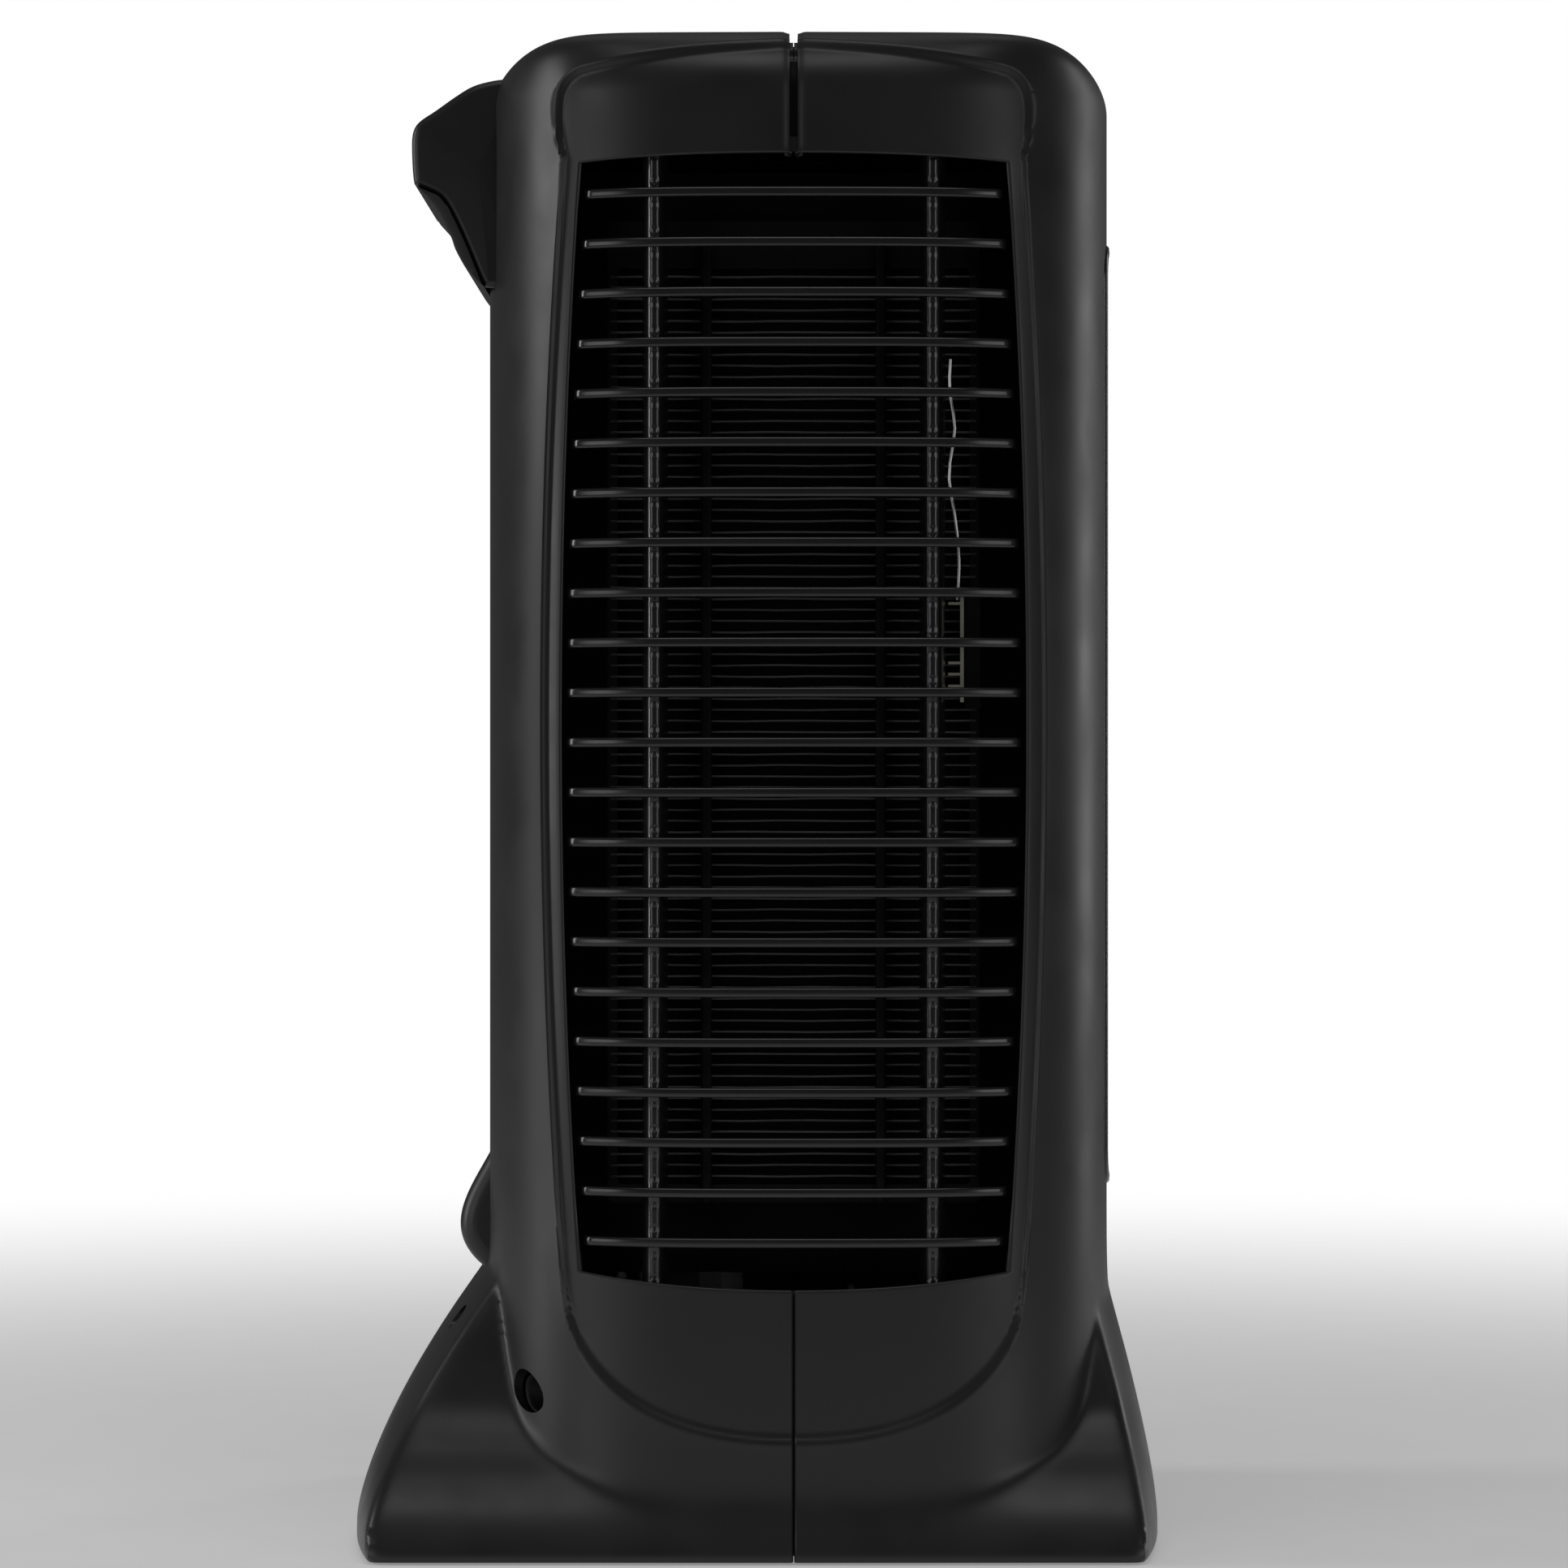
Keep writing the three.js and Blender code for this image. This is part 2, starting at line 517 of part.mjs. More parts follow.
sides.forEach((side) => {
  const hand = side < 0 ? 'right' : 'left';
  const near = Math.min(0, side * far);
  const wide = Math.max(0, side * far);
  let grille = rings.intersect(block(-far, far, near, wide, 0, HEIGHT));
  sides.forEach((end) => {
    const x = SEAM_X + end * GRILLE_RIB_X;
    const reach = towerSide(x - BODY_X, WALL + FIT + 1.6);
    const y0 = Math.min(side * reach, side * (reach - 6));
    const y1 = Math.max(side * reach, side * (reach - 6));
    const half = GRILLE_RIB_WIDTH / 2;
    grille = grille.add(block(x - half, x + half, y0, y1, OPEN_BOTTOM - 1, OPEN_TOP + 2));
  });
  for (let i = 0; i < LOUVRES; i += 1) {
    const z = louvreBottom + louvrePitch * i;
    const blade = uprightPrism(louvreOutline(z, side), z - LOUVRE_HEIGHT / 2, z + LOUVRE_HEIGHT / 2);
    grille = grille.add(blade);
  }
  place(`side_grille_${hand}`, grille, satinBlack());

  // Guard: a flat frame with a row of slots, standing between the two decks.
  const guardBottom = LOWER_DECK_Z + DECK_THICK + FIT;
  const guardTop = UPPER_DECK_Z - FIT;
  const slotBottom = guardBottom + GUARD_FRAME * 2;
  const slotTop = guardTop - GUARD_FRAME * 5;
  const slotPitch = (slotTop - slotBottom) / GUARD_FINS;
  const slots = [];
  for (let i = 0; i < GUARD_FINS; i += 1) {
    const z0 = slotBottom + slotPitch * i + GUARD_FIN / 2;
    const z1 = slotBottom + slotPitch * (i + 1) - GUARD_FIN / 2;
    slots.push([
      new THREE.Vector2(SEAM_X - GUARD_HALF, z0),
      new THREE.Vector2(SEAM_X - GUARD_HALF, z1),
      new THREE.Vector2(SEAM_X + GUARD_HALF, z1),
      new THREE.Vector2(SEAM_X + GUARD_HALF, z0),
    ]);
  }
  const guardSide = GUARD_HALF + GUARD_FRAME;
  const plate = [
    new THREE.Vector2(SEAM_X - guardSide, guardBottom),
    new THREE.Vector2(SEAM_X + guardSide, guardBottom),
    new THREE.Vector2(SEAM_X + guardSide, guardTop),
    new THREE.Vector2(SEAM_X - guardSide, guardTop),
  ];
  const guardNear = side * GUARD_Y;
  const guardFar = side * (GUARD_Y - GUARD_THICK);
  const guard = sidePrism(plate, Math.min(guardNear, guardFar), Math.max(guardNear, guardFar), slots);
  place(`inlet_guard_${hand}`, guard, darkPlastic());
  sides.forEach((end) => {
    const x = SEAM_X + end * GUARD_BAR_X;
    const near0 = side * (GUARD_Y + FIT);
    const near1 = side * (GUARD_Y + FIT + GUARD_BAR_THICK);
    const half = GUARD_BAR_WIDTH / 2;
    const bar = block(
      x - half, x + half, Math.min(near0, near1), Math.max(near0, near1), guardBottom, guardTop - 6,
    );
    place(`guard_bar_${hand}_${end < 0 ? 'rear' : 'front'}`, bar, darkPlastic());
  });
  const padNear = side * (GUARD_Y - GUARD_THICK - FIT);
  const padFar = side * (GUARD_Y - GUARD_THICK - FIT - FILTER_THICK);
  const pad = block(
    SEAM_X - FILTER_HALF,
    SEAM_X + FILTER_HALF,
    Math.min(padNear, padFar),
    Math.max(padNear, padFar),
    OPEN_BOTTOM + 3,
    OPEN_TOP - 3,
  );
  place(`inlet_filter_${hand}`, pad, rubber());
});

// ---- Decks and blower ----------------------------------------------------------------------------
function deck(z, holeRadius) {
  const plan = uprightPrism(
    superEllipse(BODY_X, bodyHalfDepth - WALL - FIT, bodyHalfWidth - WALL, BODY_POWER, BODY_SIDES),
    z,
    z + DECK_THICK,
  );
  const trimmed = plan.intersect(block(-far, far, -DECK_HALF, DECK_HALF, 0, HEIGHT));
  return trimmed.subtract(post(holeRadius, z - 1, z + DECK_THICK + 1, WHEEL_X, 0));
}

place('lower_deck', deck(LOWER_DECK_Z, SHAFT_RADIUS + 1), darkPlastic());
place('upper_deck', deck(UPPER_DECK_Z, BEARING_RADIUS - 1.5), darkPlastic());

const wheelBottom = LOWER_DECK_Z + DECK_THICK + WHEEL_END_CLEARANCE;
const wheelTop = UPPER_DECK_Z - WHEEL_END_CLEARANCE;
const hubRadius = SHAFT_RADIUS + FIT;
let wheel = post(WHEEL_RADIUS, wheelBottom, wheelBottom + WHEEL_DISC, WHEEL_X, 0, 40);
wheel = wheel.add(post(WHEEL_RADIUS, wheelTop - WHEEL_DISC, wheelTop, WHEEL_X, 0, 40));
for (let i = 0; i < WHEEL_BLADES; i += 1) {
  const angle = (2 * Math.PI * i) / WHEEL_BLADES;
  const geometry = new THREE.BoxGeometry(BLADE_CHORD, BLADE_THICK, wheelTop - wheelBottom - WHEEL_DISC);
  geometry.rotateZ(0.6);
  geometry.translate(WHEEL_RADIUS - BLADE_CHORD / 2 - 0.6, 0, (wheelTop + wheelBottom) / 2);
  geometry.rotateZ(angle);
  wheel = wheel.add(solid(geometry.translate(WHEEL_X, 0, 0)));
}
wheel = wheel.subtract(post(hubRadius, wheelBottom - 1, wheelTop + 1, WHEEL_X, 0));
place('blower_wheel', wheel, darkPlastic());

const bearingTop = UPPER_DECK_Z + DECK_THICK + FIT + BEARING_HEIGHT;
const motorTop = LOWER_DECK_Z - FIT;
const motorBottom = motorTop - MOTOR_HEIGHT;
place('blower_shaft', post(SHAFT_RADIUS, motorBottom + 8, bearingTop + 3, WHEEL_X, 0, 14), steel());

const bearing = turned([
  [SHAFT_RADIUS + FIT, UPPER_DECK_Z + 0.4],
  [BEARING_RADIUS - 1.5 - FIT, UPPER_DECK_Z + 0.4],
  [BEARING_RADIUS - 1.5 - FIT, UPPER_DECK_Z + DECK_THICK + FIT],
  [BEARING_RADIUS, UPPER_DECK_Z + DECK_THICK + FIT],
  [BEARING_RADIUS, bearingTop - 2],
  [BEARING_RADIUS - 2, bearingTop],
  [SHAFT_RADIUS + FIT, bearingTop],
  [SHAFT_RADIUS + FIT, UPPER_DECK_Z + 0.4],
], WHEEL_X, 0);
place('upper_bearing', bearing, brass());

let motor = post(MOTOR_RADIUS, motorBottom, motorTop - 4, WHEEL_X, 0, 24);
motor = motor.add(post(MOTOR_RADIUS * 0.45, motorTop - 5, motorTop, WHEEL_X, 0, 16));
motor = motor.subtract(post(hubRadius, motorBottom + 7, motorTop + 1, WHEEL_X, 0, 14));
place('blower_motor', motor, steel());

// Curved wall round the back of the wheel, standing between the decks.
function arcWall(radius, start, end, steps) {
  const points = [];
  for (let i = 0; i <= steps; i += 1) {
    const angle = start + ((end - start) * i) / steps;
    points.push(new THREE.Vector2(WHEEL_X + radius * Math.cos(angle), radius * Math.sin(angle)));
  }
  for (let i = steps; i >= 0; i -= 1) {
    const angle = start + ((end - start) * i) / steps;
    const r = radius + SCROLL_THICK;
    points.push(new THREE.Vector2(WHEEL_X + r * Math.cos(angle), r * Math.sin(angle)));
  }
  return uprightPrism(points, LOWER_DECK_Z + DECK_THICK + FIT, UPPER_DECK_Z - FIT);
}
place('blower_scroll', arcWall(WHEEL_RADIUS + 6, Math.PI * 0.62, Math.PI * 1.38, 12), darkPlastic());

// ---- Heating core --------------------------------------------------------------------------------
const coreRect = (half, z0, z1) => [
  new THREE.Vector2(-half, z0),
  new THREE.Vector2(half, z0),
  new THREE.Vector2(half, z1),
  new THREE.Vector2(-half, z1),
];
const windowHalf = coreHalf - CORE_FRAME;
const windowBottom = coreBottom + CORE_FRAME * 2;
const windowTop = coreTop - CORE_FRAME * 2;
const coreWindow = coreRect(windowHalf, windowBottom, windowTop);
place(
  'core_frame',
  frontPrism(coreRect(coreHalf, coreBottom, coreTop), coreBack, coreFront, [coreWindow]),
  darkPlastic(),
);

const packWidth = (2 * windowHalf - 2 * BAR_THICK - 6 * FIT) / 3;
const barCentre = packWidth / 2 + FIT + BAR_THICK / 2;
[-1, 1].forEach((end, i) => {
  const y = end * barCentre;
  const half = BAR_THICK / 2;
  const z0 = windowBottom + FIT;
  const z1 = windowTop - FIT;
  const bar = block(coreBack + 2, coreFront - 2, y - half, y + half, z0, z1);
  place(`ceramic_bar_${i + 1}`, bar, ceramic());
});

// Folded aluminium strip: a zigzag outline in front view, its sheet measured across the pack.
function foldedPack(centre) {
  const z0 = windowBottom + FIT;
  const z1 = windowTop - FIT;
  const first = [];
  const second = [];
  for (let i = 0; i <= FIN_FOLDS; i += 1) {
    const z = z0 + ((z1 - z0) * i) / FIN_FOLDS;
    const y = i % 2 === 0 ? centre - packWidth / 2 : centre + packWidth / 2 - FIN_SHEET;
    first.push(new THREE.Vector2(y, z));
    second.unshift(new THREE.Vector2(y + FIN_SHEET, z));
  }
  return frontPrism(first.concat(second), coreBack + 2, coreFront - 2);
}
[-1, 0, 1].forEach((slot, i) => {
  const centre = slot * (packWidth + BAR_THICK + 2 * FIT);
  place(`fin_pack_${i + 1}`, foldedPack(centre), aluminium());
});

// Cut-out on the core's right flank.
const flankY = -coreHalf - FIT;
const cutoffZ = LOWER_DECK_Z + (UPPER_DECK_Z - LOWER_DECK_Z) * 0.86;
place(
  'thermal_cutoff',
  block(coreBack - 11, coreBack + 12, flankY - 7, flankY, cutoffZ - 7, cutoffZ + 7),
  ceramic(),
);

// Room thermostat in the right inlet's air stream, on the guard, with its contact tabs and bare lead.
const sensorX = SEAM_X + GUARD_HALF - 5;
const sensorY = -GUARD_Y - FIT;
const thermostatZ = LOWER_DECK_Z + (UPPER_DECK_Z - LOWER_DECK_Z) * 0.57;
place(
  'thermostat',
  block(sensorX + 3.4, sensorX + 8, sensorY - 4, sensorY, thermostatZ - 19, thermostatZ + 17),
  darkPlastic(),
);
let tabs = block(sensorX + 2, sensorX + 3.1, sensorY - 3.4, sensorY - 0.4, thermostatZ - 17, thermostatZ + 15);
[-12.5, -8.9, -5.5, 12.5].forEach((dz) => {
  const z = thermostatZ + dz;
  tabs = tabs.add(block(sensorX - 1.6, sensorX + 2.6, sensorY - 3, sensorY - 0.8, z, z + 0.8));
});
place('thermostat_tabs', tabs, brass());
const leadY = sensorY - 1.6;
const leadPath = new THREE.CatmullRomCurve3([
  new THREE.Vector3(sensorX - 0.9, leadY, thermostatZ + 87),
  new THREE.Vector3(sensorX - 1.2, leadY, thermostatZ + 78),
  new THREE.Vector3(sensorX + 0.4, leadY - 0.6, thermostatZ + 66),
  new THREE.Vector3(sensorX - 1.4, leadY - 0.9, thermostatZ + 52),
  new THREE.Vector3(sensorX + 0.6, leadY - 0.9, thermostatZ + 38),
  new THREE.Vector3(sensorX + 1.7, leadY - 0.4, thermostatZ + 26),
  new THREE.Vector3(sensorX + 1.2, leadY, thermostatZ + 14),
]);
const leadSection = [];
for (let i = 0; i < 6; i += 1) {
  leadSection.push(new THREE.Vector2(0.45 * Math.cos((Math.PI * i) / 3), 0.45 * Math.sin((Math.PI * i) / 3)));
}
const leadShape = new THREE.Shape(leadSection);
place(
  'sensor_lead',
  solid(new THREE.ExtrudeGeometry(leadShape, { steps: 14, extrudePath: leadPath })),
  steel(),
);

// ---- Front outlet grille -------------------------------------------------------------------------
const frameHalf = OUTLET_HALF + OUTLET_FRAME;
const frameBack = outletFront - 2.4;
const frameOutline = roundedOutline(
  -frameHalf, frameHalf, OUTLET_BOTTOM - OUTLET_FRAME, OUTLET_TOP + OUTLET_FRAME, OUTLET_CORNER,
);
const grilleHole = roundedOutline(
  -OUTLET_HALF + 1, OUTLET_HALF - 1, OUTLET_BOTTOM + 1, OUTLET_TOP - 1, OUTLET_CORNER - 1,
);
let outlet = frontPrism(frameOutline, frameBack, outletFront, [grilleHole]);
const slatPitch = (OUTLET_TOP - OUTLET_BOTTOM) / OUTLET_SLATS;
for (let i = 1; i < OUTLET_SLATS; i += 1) {
  const z = OUTLET_BOTTOM + slatPitch * i;
  const front = outletFront + 2.4;
  const half = i === 1 || i === OUTLET_SLATS - 1 ? OUTLET_HALF - 1 : OUTLET_HALF - FIT - 0.2;
  outlet = outlet.add(block(frameBack + 0.2, front, -half, half, z - OUTLET_SLAT / 2, z + OUTLET_SLAT / 2));
}
sides.forEach((side) => {
  const y = (side * OUTLET_HALF) / 3;
  outlet = outlet.add(block(frameBack - 0.6, frameBack + 1.4, y - 1.5, y + 1.5, OUTLET_BOTTOM - 2, OUTLET_TOP + 2));
});
place('outlet_grille', outlet, satinBlack());

// ---- Top panel, buttons, board -------------------------------------------------------------------
const halfPanel = CONTROL_WIDTH / 2;
let panel = uprightPrism(roundedOutline(panelX0, panelX1, -halfPanel, halfPanel, CONTROL_CORNER), panelBottom, panelTop);
const flangeOutline = roundedOutline(
  panelX0 - CONTROL_FLANGE,
  panelX1 + CONTROL_FLANGE,
  -halfPanel - CONTROL_FLANGE,
  halfPanel + CONTROL_FLANGE,
  CONTROL_CORNER + CONTROL_FLANGE,
);
panel = panel.add(uprightPrism(flangeOutline, panelBottom, flangeTop));
const windowX0 = panelX0 + CONTROL_LENGTH * 0.58;
const windowX1 = panelX0 + CONTROL_LENGTH * 0.86;
const windowY = CONTROL_WIDTH * 0.24;
panel = panel.subtract(block(windowX0, windowX1, -windowY, windowY, panelTop - 2.3, panelTop + 1));
panel = panel.subtract(block(windowX0 + 1.2, windowX1 - 1.2, -windowY + 1.2, windowY - 1.2, panelBottom - 1, panelTop));
const pillarX = [panelX0 + 4, panelX1 - 4];
pillarX.forEach((x) => {
  sides.forEach((side) => {
    panel = panel.add(post(2.6, boardTop + FIT, panelBottom + 0.5, x, side * (halfPanel - 5), 6));
  });
});
const buttonNames = ['cooler', 'timer', 'power', 'mode', 'warmer'];
buttonNames.forEach((label, i) => {
  const y = (i - 2) * buttonStep;
  panel = panel.subtract(post(BUTTON_RADIUS + FIT, panelBottom - 1, HEIGHT + 1, buttonX, y, 12));
  const cap = turned([
    [0, buttonBottom],
    [BUTTON_RADIUS + BUTTON_FLANGE, buttonBottom],
    [BUTTON_RADIUS + BUTTON_FLANGE, buttonBottom + BUTTON_FLANGE],
    [BUTTON_RADIUS, buttonBottom + BUTTON_FLANGE],
    [BUTTON_RADIUS, HEIGHT - 0.9],
    [BUTTON_RADIUS - 0.7, HEIGHT - 0.3],
    [0, HEIGHT - 0.3],
  ], buttonX, y, 12);
  place(`${label}_button`, cap, gripBlack());
});
place('control_panel', panel, glossBlack());
place(
  'display_window',
  block(windowX0 + FIT, windowX1 - FIT, -windowY + FIT, windowY - FIT, panelTop - 2, panelTop),
  glossBlack(),
);
let board = block(panelX0 + 1, panelX1 - 1, -halfPanel + 2, halfPanel - 2, boardBottom, boardTop);
buttonNames.forEach((label, i) => {
  const y = (i - 2) * buttonStep;
  board = board.add(block(buttonX - 3, buttonX + 3, y - 3, y + 3, boardTop - 0.5, boardTop + 2.6));
  board = board.add(post(1.6, boardTop + 2, boardTop + 3.8, buttonX, y, 6));
});
place('control_board', board, fibreBoard());

// ---- Handle --------------------------------------------------------------------------------------
// Side outlines relative to the tower's back face, so that depth changes carry the handle along.
const hx = (reach) => bodyBack + 3.6 - reach * (HANDLE_REACH / 22);
const hz = (drop) => HANDLE_TOP - drop;
const hoodTop = [[-14, 0], [0, 0.6], [6.7, 2.2], [12.1, 5.2], [18.6, 10.2], [24.4, 14.2], [25.8, 17.3]];
const hoodTip = [[25.8, 23.5], [25.3, 32.2]];
const hoodUnder = [[17.6, 36.1], [13.6, 41.9], [8.9, 52.1], [4.1, 63.3], [2.5, 64.6], [-14, 64.6]];
const hoodOutline = hoodTop.concat(hoodTip, hoodUnder).map(([r, d]) => new THREE.Vector2(hx(r), hz(d)));
const handleHalf = HANDLE_WIDTH / 2;
const clearBody = tower(-FIT, 200);
let hood = sidePrism(hoodOutline, -handleHalf, handleHalf).subtract(clearBody);
const pocketOutline = [
  [-14, 3.6], [5, 5.4], [11, 8.8], [17, 13.6], [21.8, 17.4], [22.2, 24], [21.9, 30.4], [14.2, 34], [9.6, 43],
  [5, 54], [4, 80], [-14, 80],
].map(([r, d]) => new THREE.Vector2(hx(r), hz(d)));
const pocketHalf = handleHalf - HANDLE_WALL;
hood = hood.subtract(sidePrism(pocketOutline, -pocketHalf, pocketHalf));
const fingerHalf = HANDLE_SLOT / 2;
const fingerCut = [[40, 36.5], [4, 36.5], [4, 57], [40, 57]].map(([r, d]) => new THREE.Vector2(hx(r), hz(d)));
hood = hood.subtract(sidePrism(fingerCut, -fingerHalf, fingerHalf));
place('carry_handle', hood, satinBlack());

// Grip: the lens-shaped strip that closes the underside, with the finger slot through it.
const gripOuter = [
  [24.1, 33.9], [20.4, 37.6], [18.3, 40.5], [16.6, 43.5], [15.1, 46.5], [13.6, 49.5], [12.6, 52.5], [11.1, 55.5],
  [9.4, 58.4], [6.9, 61.5], [3.5, 64.4],
];
const gripInner = [[3.9, 63.7], [8.2, 52.7], [13, 42.4], [17.1, 36.5]];
const gripOutline = gripOuter.concat(gripInner).map(([r, d]) => new THREE.Vector2(hx(r), hz(d)));
let grip = sidePrism(gripOutline, -handleHalf, handleHalf).subtract(clearBody);
grip = grip.subtract(sidePrism(hoodOutline, -far, far));
grip = grip.subtract(sidePrism(hoodOutline, -far, far).translate([-0.25, 0, -0.2]));
grip = grip.subtract(sidePrism(fingerCut.map((p) => p.clone()), -fingerHalf, fingerHalf));
place('handle_grip', grip, gripBlack());

// ---- Rear cowl -----------------------------------------------------------------------------------
function cowlOutline(shrink) {
  const points = [];
  const steps = 9;
  points.push(new THREE.Vector2(bodyBack + 14, COWL_TOP - shrink));
  for (let i = 0; i <= steps; i += 1) {
    const t = i / steps;
    const bulge = Math.sin(Math.PI * t ** 0.72) ** 1.1;
    const x = bodyBack + 1.4 - (COWL_REACH + 1.4 - shrink) * bulge;
    points.push(new THREE.Vector2(x, COWL_BOTTOM + shrink + (COWL_TOP - COWL_BOTTOM - 2 * shrink) * t));
  }
  points.push(new THREE.Vector2(bodyBack + 14, COWL_BOTTOM + shrink));
  const start = points.shift();
  points.push(start);
  const last = points.pop();
  const low = points.pop();
  return [low].concat(points, [last]);
}
const cowlHalf = COWL_WIDTH / 2;
const clearAll = tower(-FIT, 6).add(base(-FIT, RIM));
let cowl = sidePrism(cowlOutline(0), -cowlHalf, cowlHalf);
cowl = cowl.subtract(sidePrism(cowlOutline(2.4), -cowlHalf + 2.4, cowlHalf - 2.4)).subtract(clearAll);
place('rear_cowl', cowl, satinBlack());

// ---- Base plate, feet, screws --------------------------------------------------------------------
let plateShape = uprightPrism(baseOutline(9, WALL + FIT), PLATE_Z, plateTop);
const footPlaces = [];
sides.forEach((end) => {
  sides.forEach((side) => {
    const name = `foot_${end < 0 ? 'rear' : 'front'}_${side < 0 ? 'right' : 'left'}`;
    footPlaces.push({ name, x: end * footX, y: side * footY * 1.75 });
  });
});
footPlaces.forEach(({ name, x, y }) => {
  plateShape = plateShape.subtract(post(FOOT_STEM + FIT, 0, 20, x, y, 12));
  const foot = turned([
    [0, 0],
    [FOOT_RADIUS - 1, 0],
    [FOOT_RADIUS, 1],
    [FOOT_RADIUS, PLATE_Z - FIT],
    [FOOT_STEM, PLATE_Z - FIT],
    [FOOT_STEM, plateTop + FIT],
    [FOOT_STEM + 1.4, plateTop + FIT],
    [FOOT_STEM - 0.6, plateTop + 3],
    [0, plateTop + 3],
  ], x, y, 12);
  place(name, foot, rubber());
});
baseScrewX.forEach((x) => {
  sides.forEach((side) => {
    const y = side * baseScrewY;
    plateShape = plateShape.subtract(post(SCREW_RADIUS + FIT, 0, 20, x, y, 8));
    const screw = turned([
      [0, PLATE_Z - FIT - 1.6],
      [SCREW_HEAD - 0.8, PLATE_Z - FIT - 1.6],
      [SCREW_HEAD, PLATE_Z - FIT],
      [SCREW_RADIUS, PLATE_Z - FIT],
      [SCREW_RADIUS, 20],
      [0, 22],
    ], x, y, 8);
    place(`base_screw_${x < 0 ? 'rear' : 'front'}_${side < 0 ? 'right' : 'left'}`, screw, steel());
  });
});
plateShape = plateShape.subtract(post(PLUNGER_RADIUS + FIT, 0, 20, plungerX, 0, 20));
place('base_plate', plateShape, darkPlastic());

// Tip-over switch: the plunger rests on the floor and drops when the heater is lifted.
const switchBottom = plateTop + FIT;
const switchTop = switchBottom + 24;
let tipSwitch = block(plungerX - 13, plungerX + 13, -9, 9, switchBottom, switchTop);
tipSwitch = tipSwitch.subtract(post(PLUNGER_RADIUS + FIT, 0, switchTop - 4, plungerX, 0, 20));
place('tip_switch', tipSwitch, darkPlastic());
const plungerTop = switchTop - 6;
const plunger = turned([
  [0, 0],
  [PLUNGER_RADIUS - 1, 0],
  [PLUNGER_RADIUS, 1],
  [PLUNGER_RADIUS, plungerTop],
  [0, plungerTop],
], plungerX, 0, 16);
place('tip_plunger', plunger, gripBlack());

// ---- Cord outlet and power parts -----------------------------------------------------------------
// The bush runs straight back through the rounded corner, with its flange inside the wall.
const bushEnd = BODY_X - towerReach(Math.abs(cordY) + CORD_HOLE + 2.5, WALL + FIT) + 1;
const bushRoom = tower(0.2, 6).add(base(0.2, RIM));
let bush = rod(CORD_HOLE, -far, bushEnd + 2, cordY, cordZ, 14).intersect(bushRoom);
bush = bush.add(rod(CORD_HOLE + 1.8, bushEnd, bushEnd + 2, cordY, cordZ, 14));
bush = bush.subtract(rod(CORD_HOLE - 2, -far, far, cordY, cordZ, 14));
place('cord_bush', bush, rubber());

const terminalX = -BODY_DEPTH * 0.25;
const terminalY = -bodyHalfWidth * 0.42;
let terminal = block(terminalX - 9, terminalX + 9, terminalY - 16, terminalY + 16, plateTop + FIT, plateTop + 13);
[-10, 0, 10].forEach((dy) => {
  terminal = terminal.subtract(rod(2.2, terminalX - 12, terminalX + 12, terminalY + dy, plateTop + 7, 10));
});
place('terminal_block', terminal, ceramic());

const boardX = BODY_DEPTH * 0.16;
const powerY = bodyHalfWidth * 0.45;
const powerZ = plateTop + FIT;
place('power_board', block(boardX - 2, boardX, powerY - 34, powerY + 34, powerZ, powerZ + 60), fibreBoard());
const sinkX = boardX + FIT;
let sink = block(sinkX, sinkX + 3, powerY - 18, powerY + 18, powerZ + 12, powerZ + 54);
for (let i = 0; i < 6; i += 1) {
  const y = powerY - 17 + i * 6.4;
  sink = sink.add(block(sinkX + 2, sinkX + 16, y, y + 1.6, powerZ + 12, powerZ + 54));
}
place('heat_sink', sink, aluminium());

export default group;
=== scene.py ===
"""Looks for an upright ceramic space heater: shell halves, louvred side inlets, handle and fittings."""

import json
import math

import bmesh
import bpy
import numpy as np
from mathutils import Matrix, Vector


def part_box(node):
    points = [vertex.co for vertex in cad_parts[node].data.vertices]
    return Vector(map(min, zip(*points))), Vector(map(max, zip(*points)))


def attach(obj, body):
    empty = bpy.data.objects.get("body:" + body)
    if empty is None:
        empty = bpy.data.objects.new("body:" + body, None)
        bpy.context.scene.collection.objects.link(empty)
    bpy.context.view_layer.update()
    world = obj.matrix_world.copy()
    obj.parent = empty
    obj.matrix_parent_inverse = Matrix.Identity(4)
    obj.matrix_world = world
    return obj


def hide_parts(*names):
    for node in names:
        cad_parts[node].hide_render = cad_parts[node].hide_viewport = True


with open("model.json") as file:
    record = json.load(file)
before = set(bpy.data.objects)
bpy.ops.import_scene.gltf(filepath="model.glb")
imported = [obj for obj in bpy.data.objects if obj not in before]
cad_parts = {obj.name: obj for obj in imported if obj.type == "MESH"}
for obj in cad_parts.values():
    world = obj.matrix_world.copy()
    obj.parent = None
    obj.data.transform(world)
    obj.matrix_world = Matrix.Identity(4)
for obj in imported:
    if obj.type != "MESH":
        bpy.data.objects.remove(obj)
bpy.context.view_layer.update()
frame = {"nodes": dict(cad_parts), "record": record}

bl_info = {
    "name": "Tower heater",
    "version": (1, 0, 0),
    "blender": (4, 5, 0),
    "location": "View3D > Sidebar > Heater",
    "description": "Builds the visible pieces of an upright ceramic heater round its packed frame",
    "category": "Add Mesh",
}

# ---- Measures in millimetres: seam, height and rim read from the frame, the rest given -----------
MM = 0.001
UNIT = 1000.0


def span(node, axis):
    """Lowest and highest coordinate of a frame node along one axis (0, 1, 2), in millimetres."""
    low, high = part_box(node)
    return low[axis] * UNIT, high[axis] * UNIT


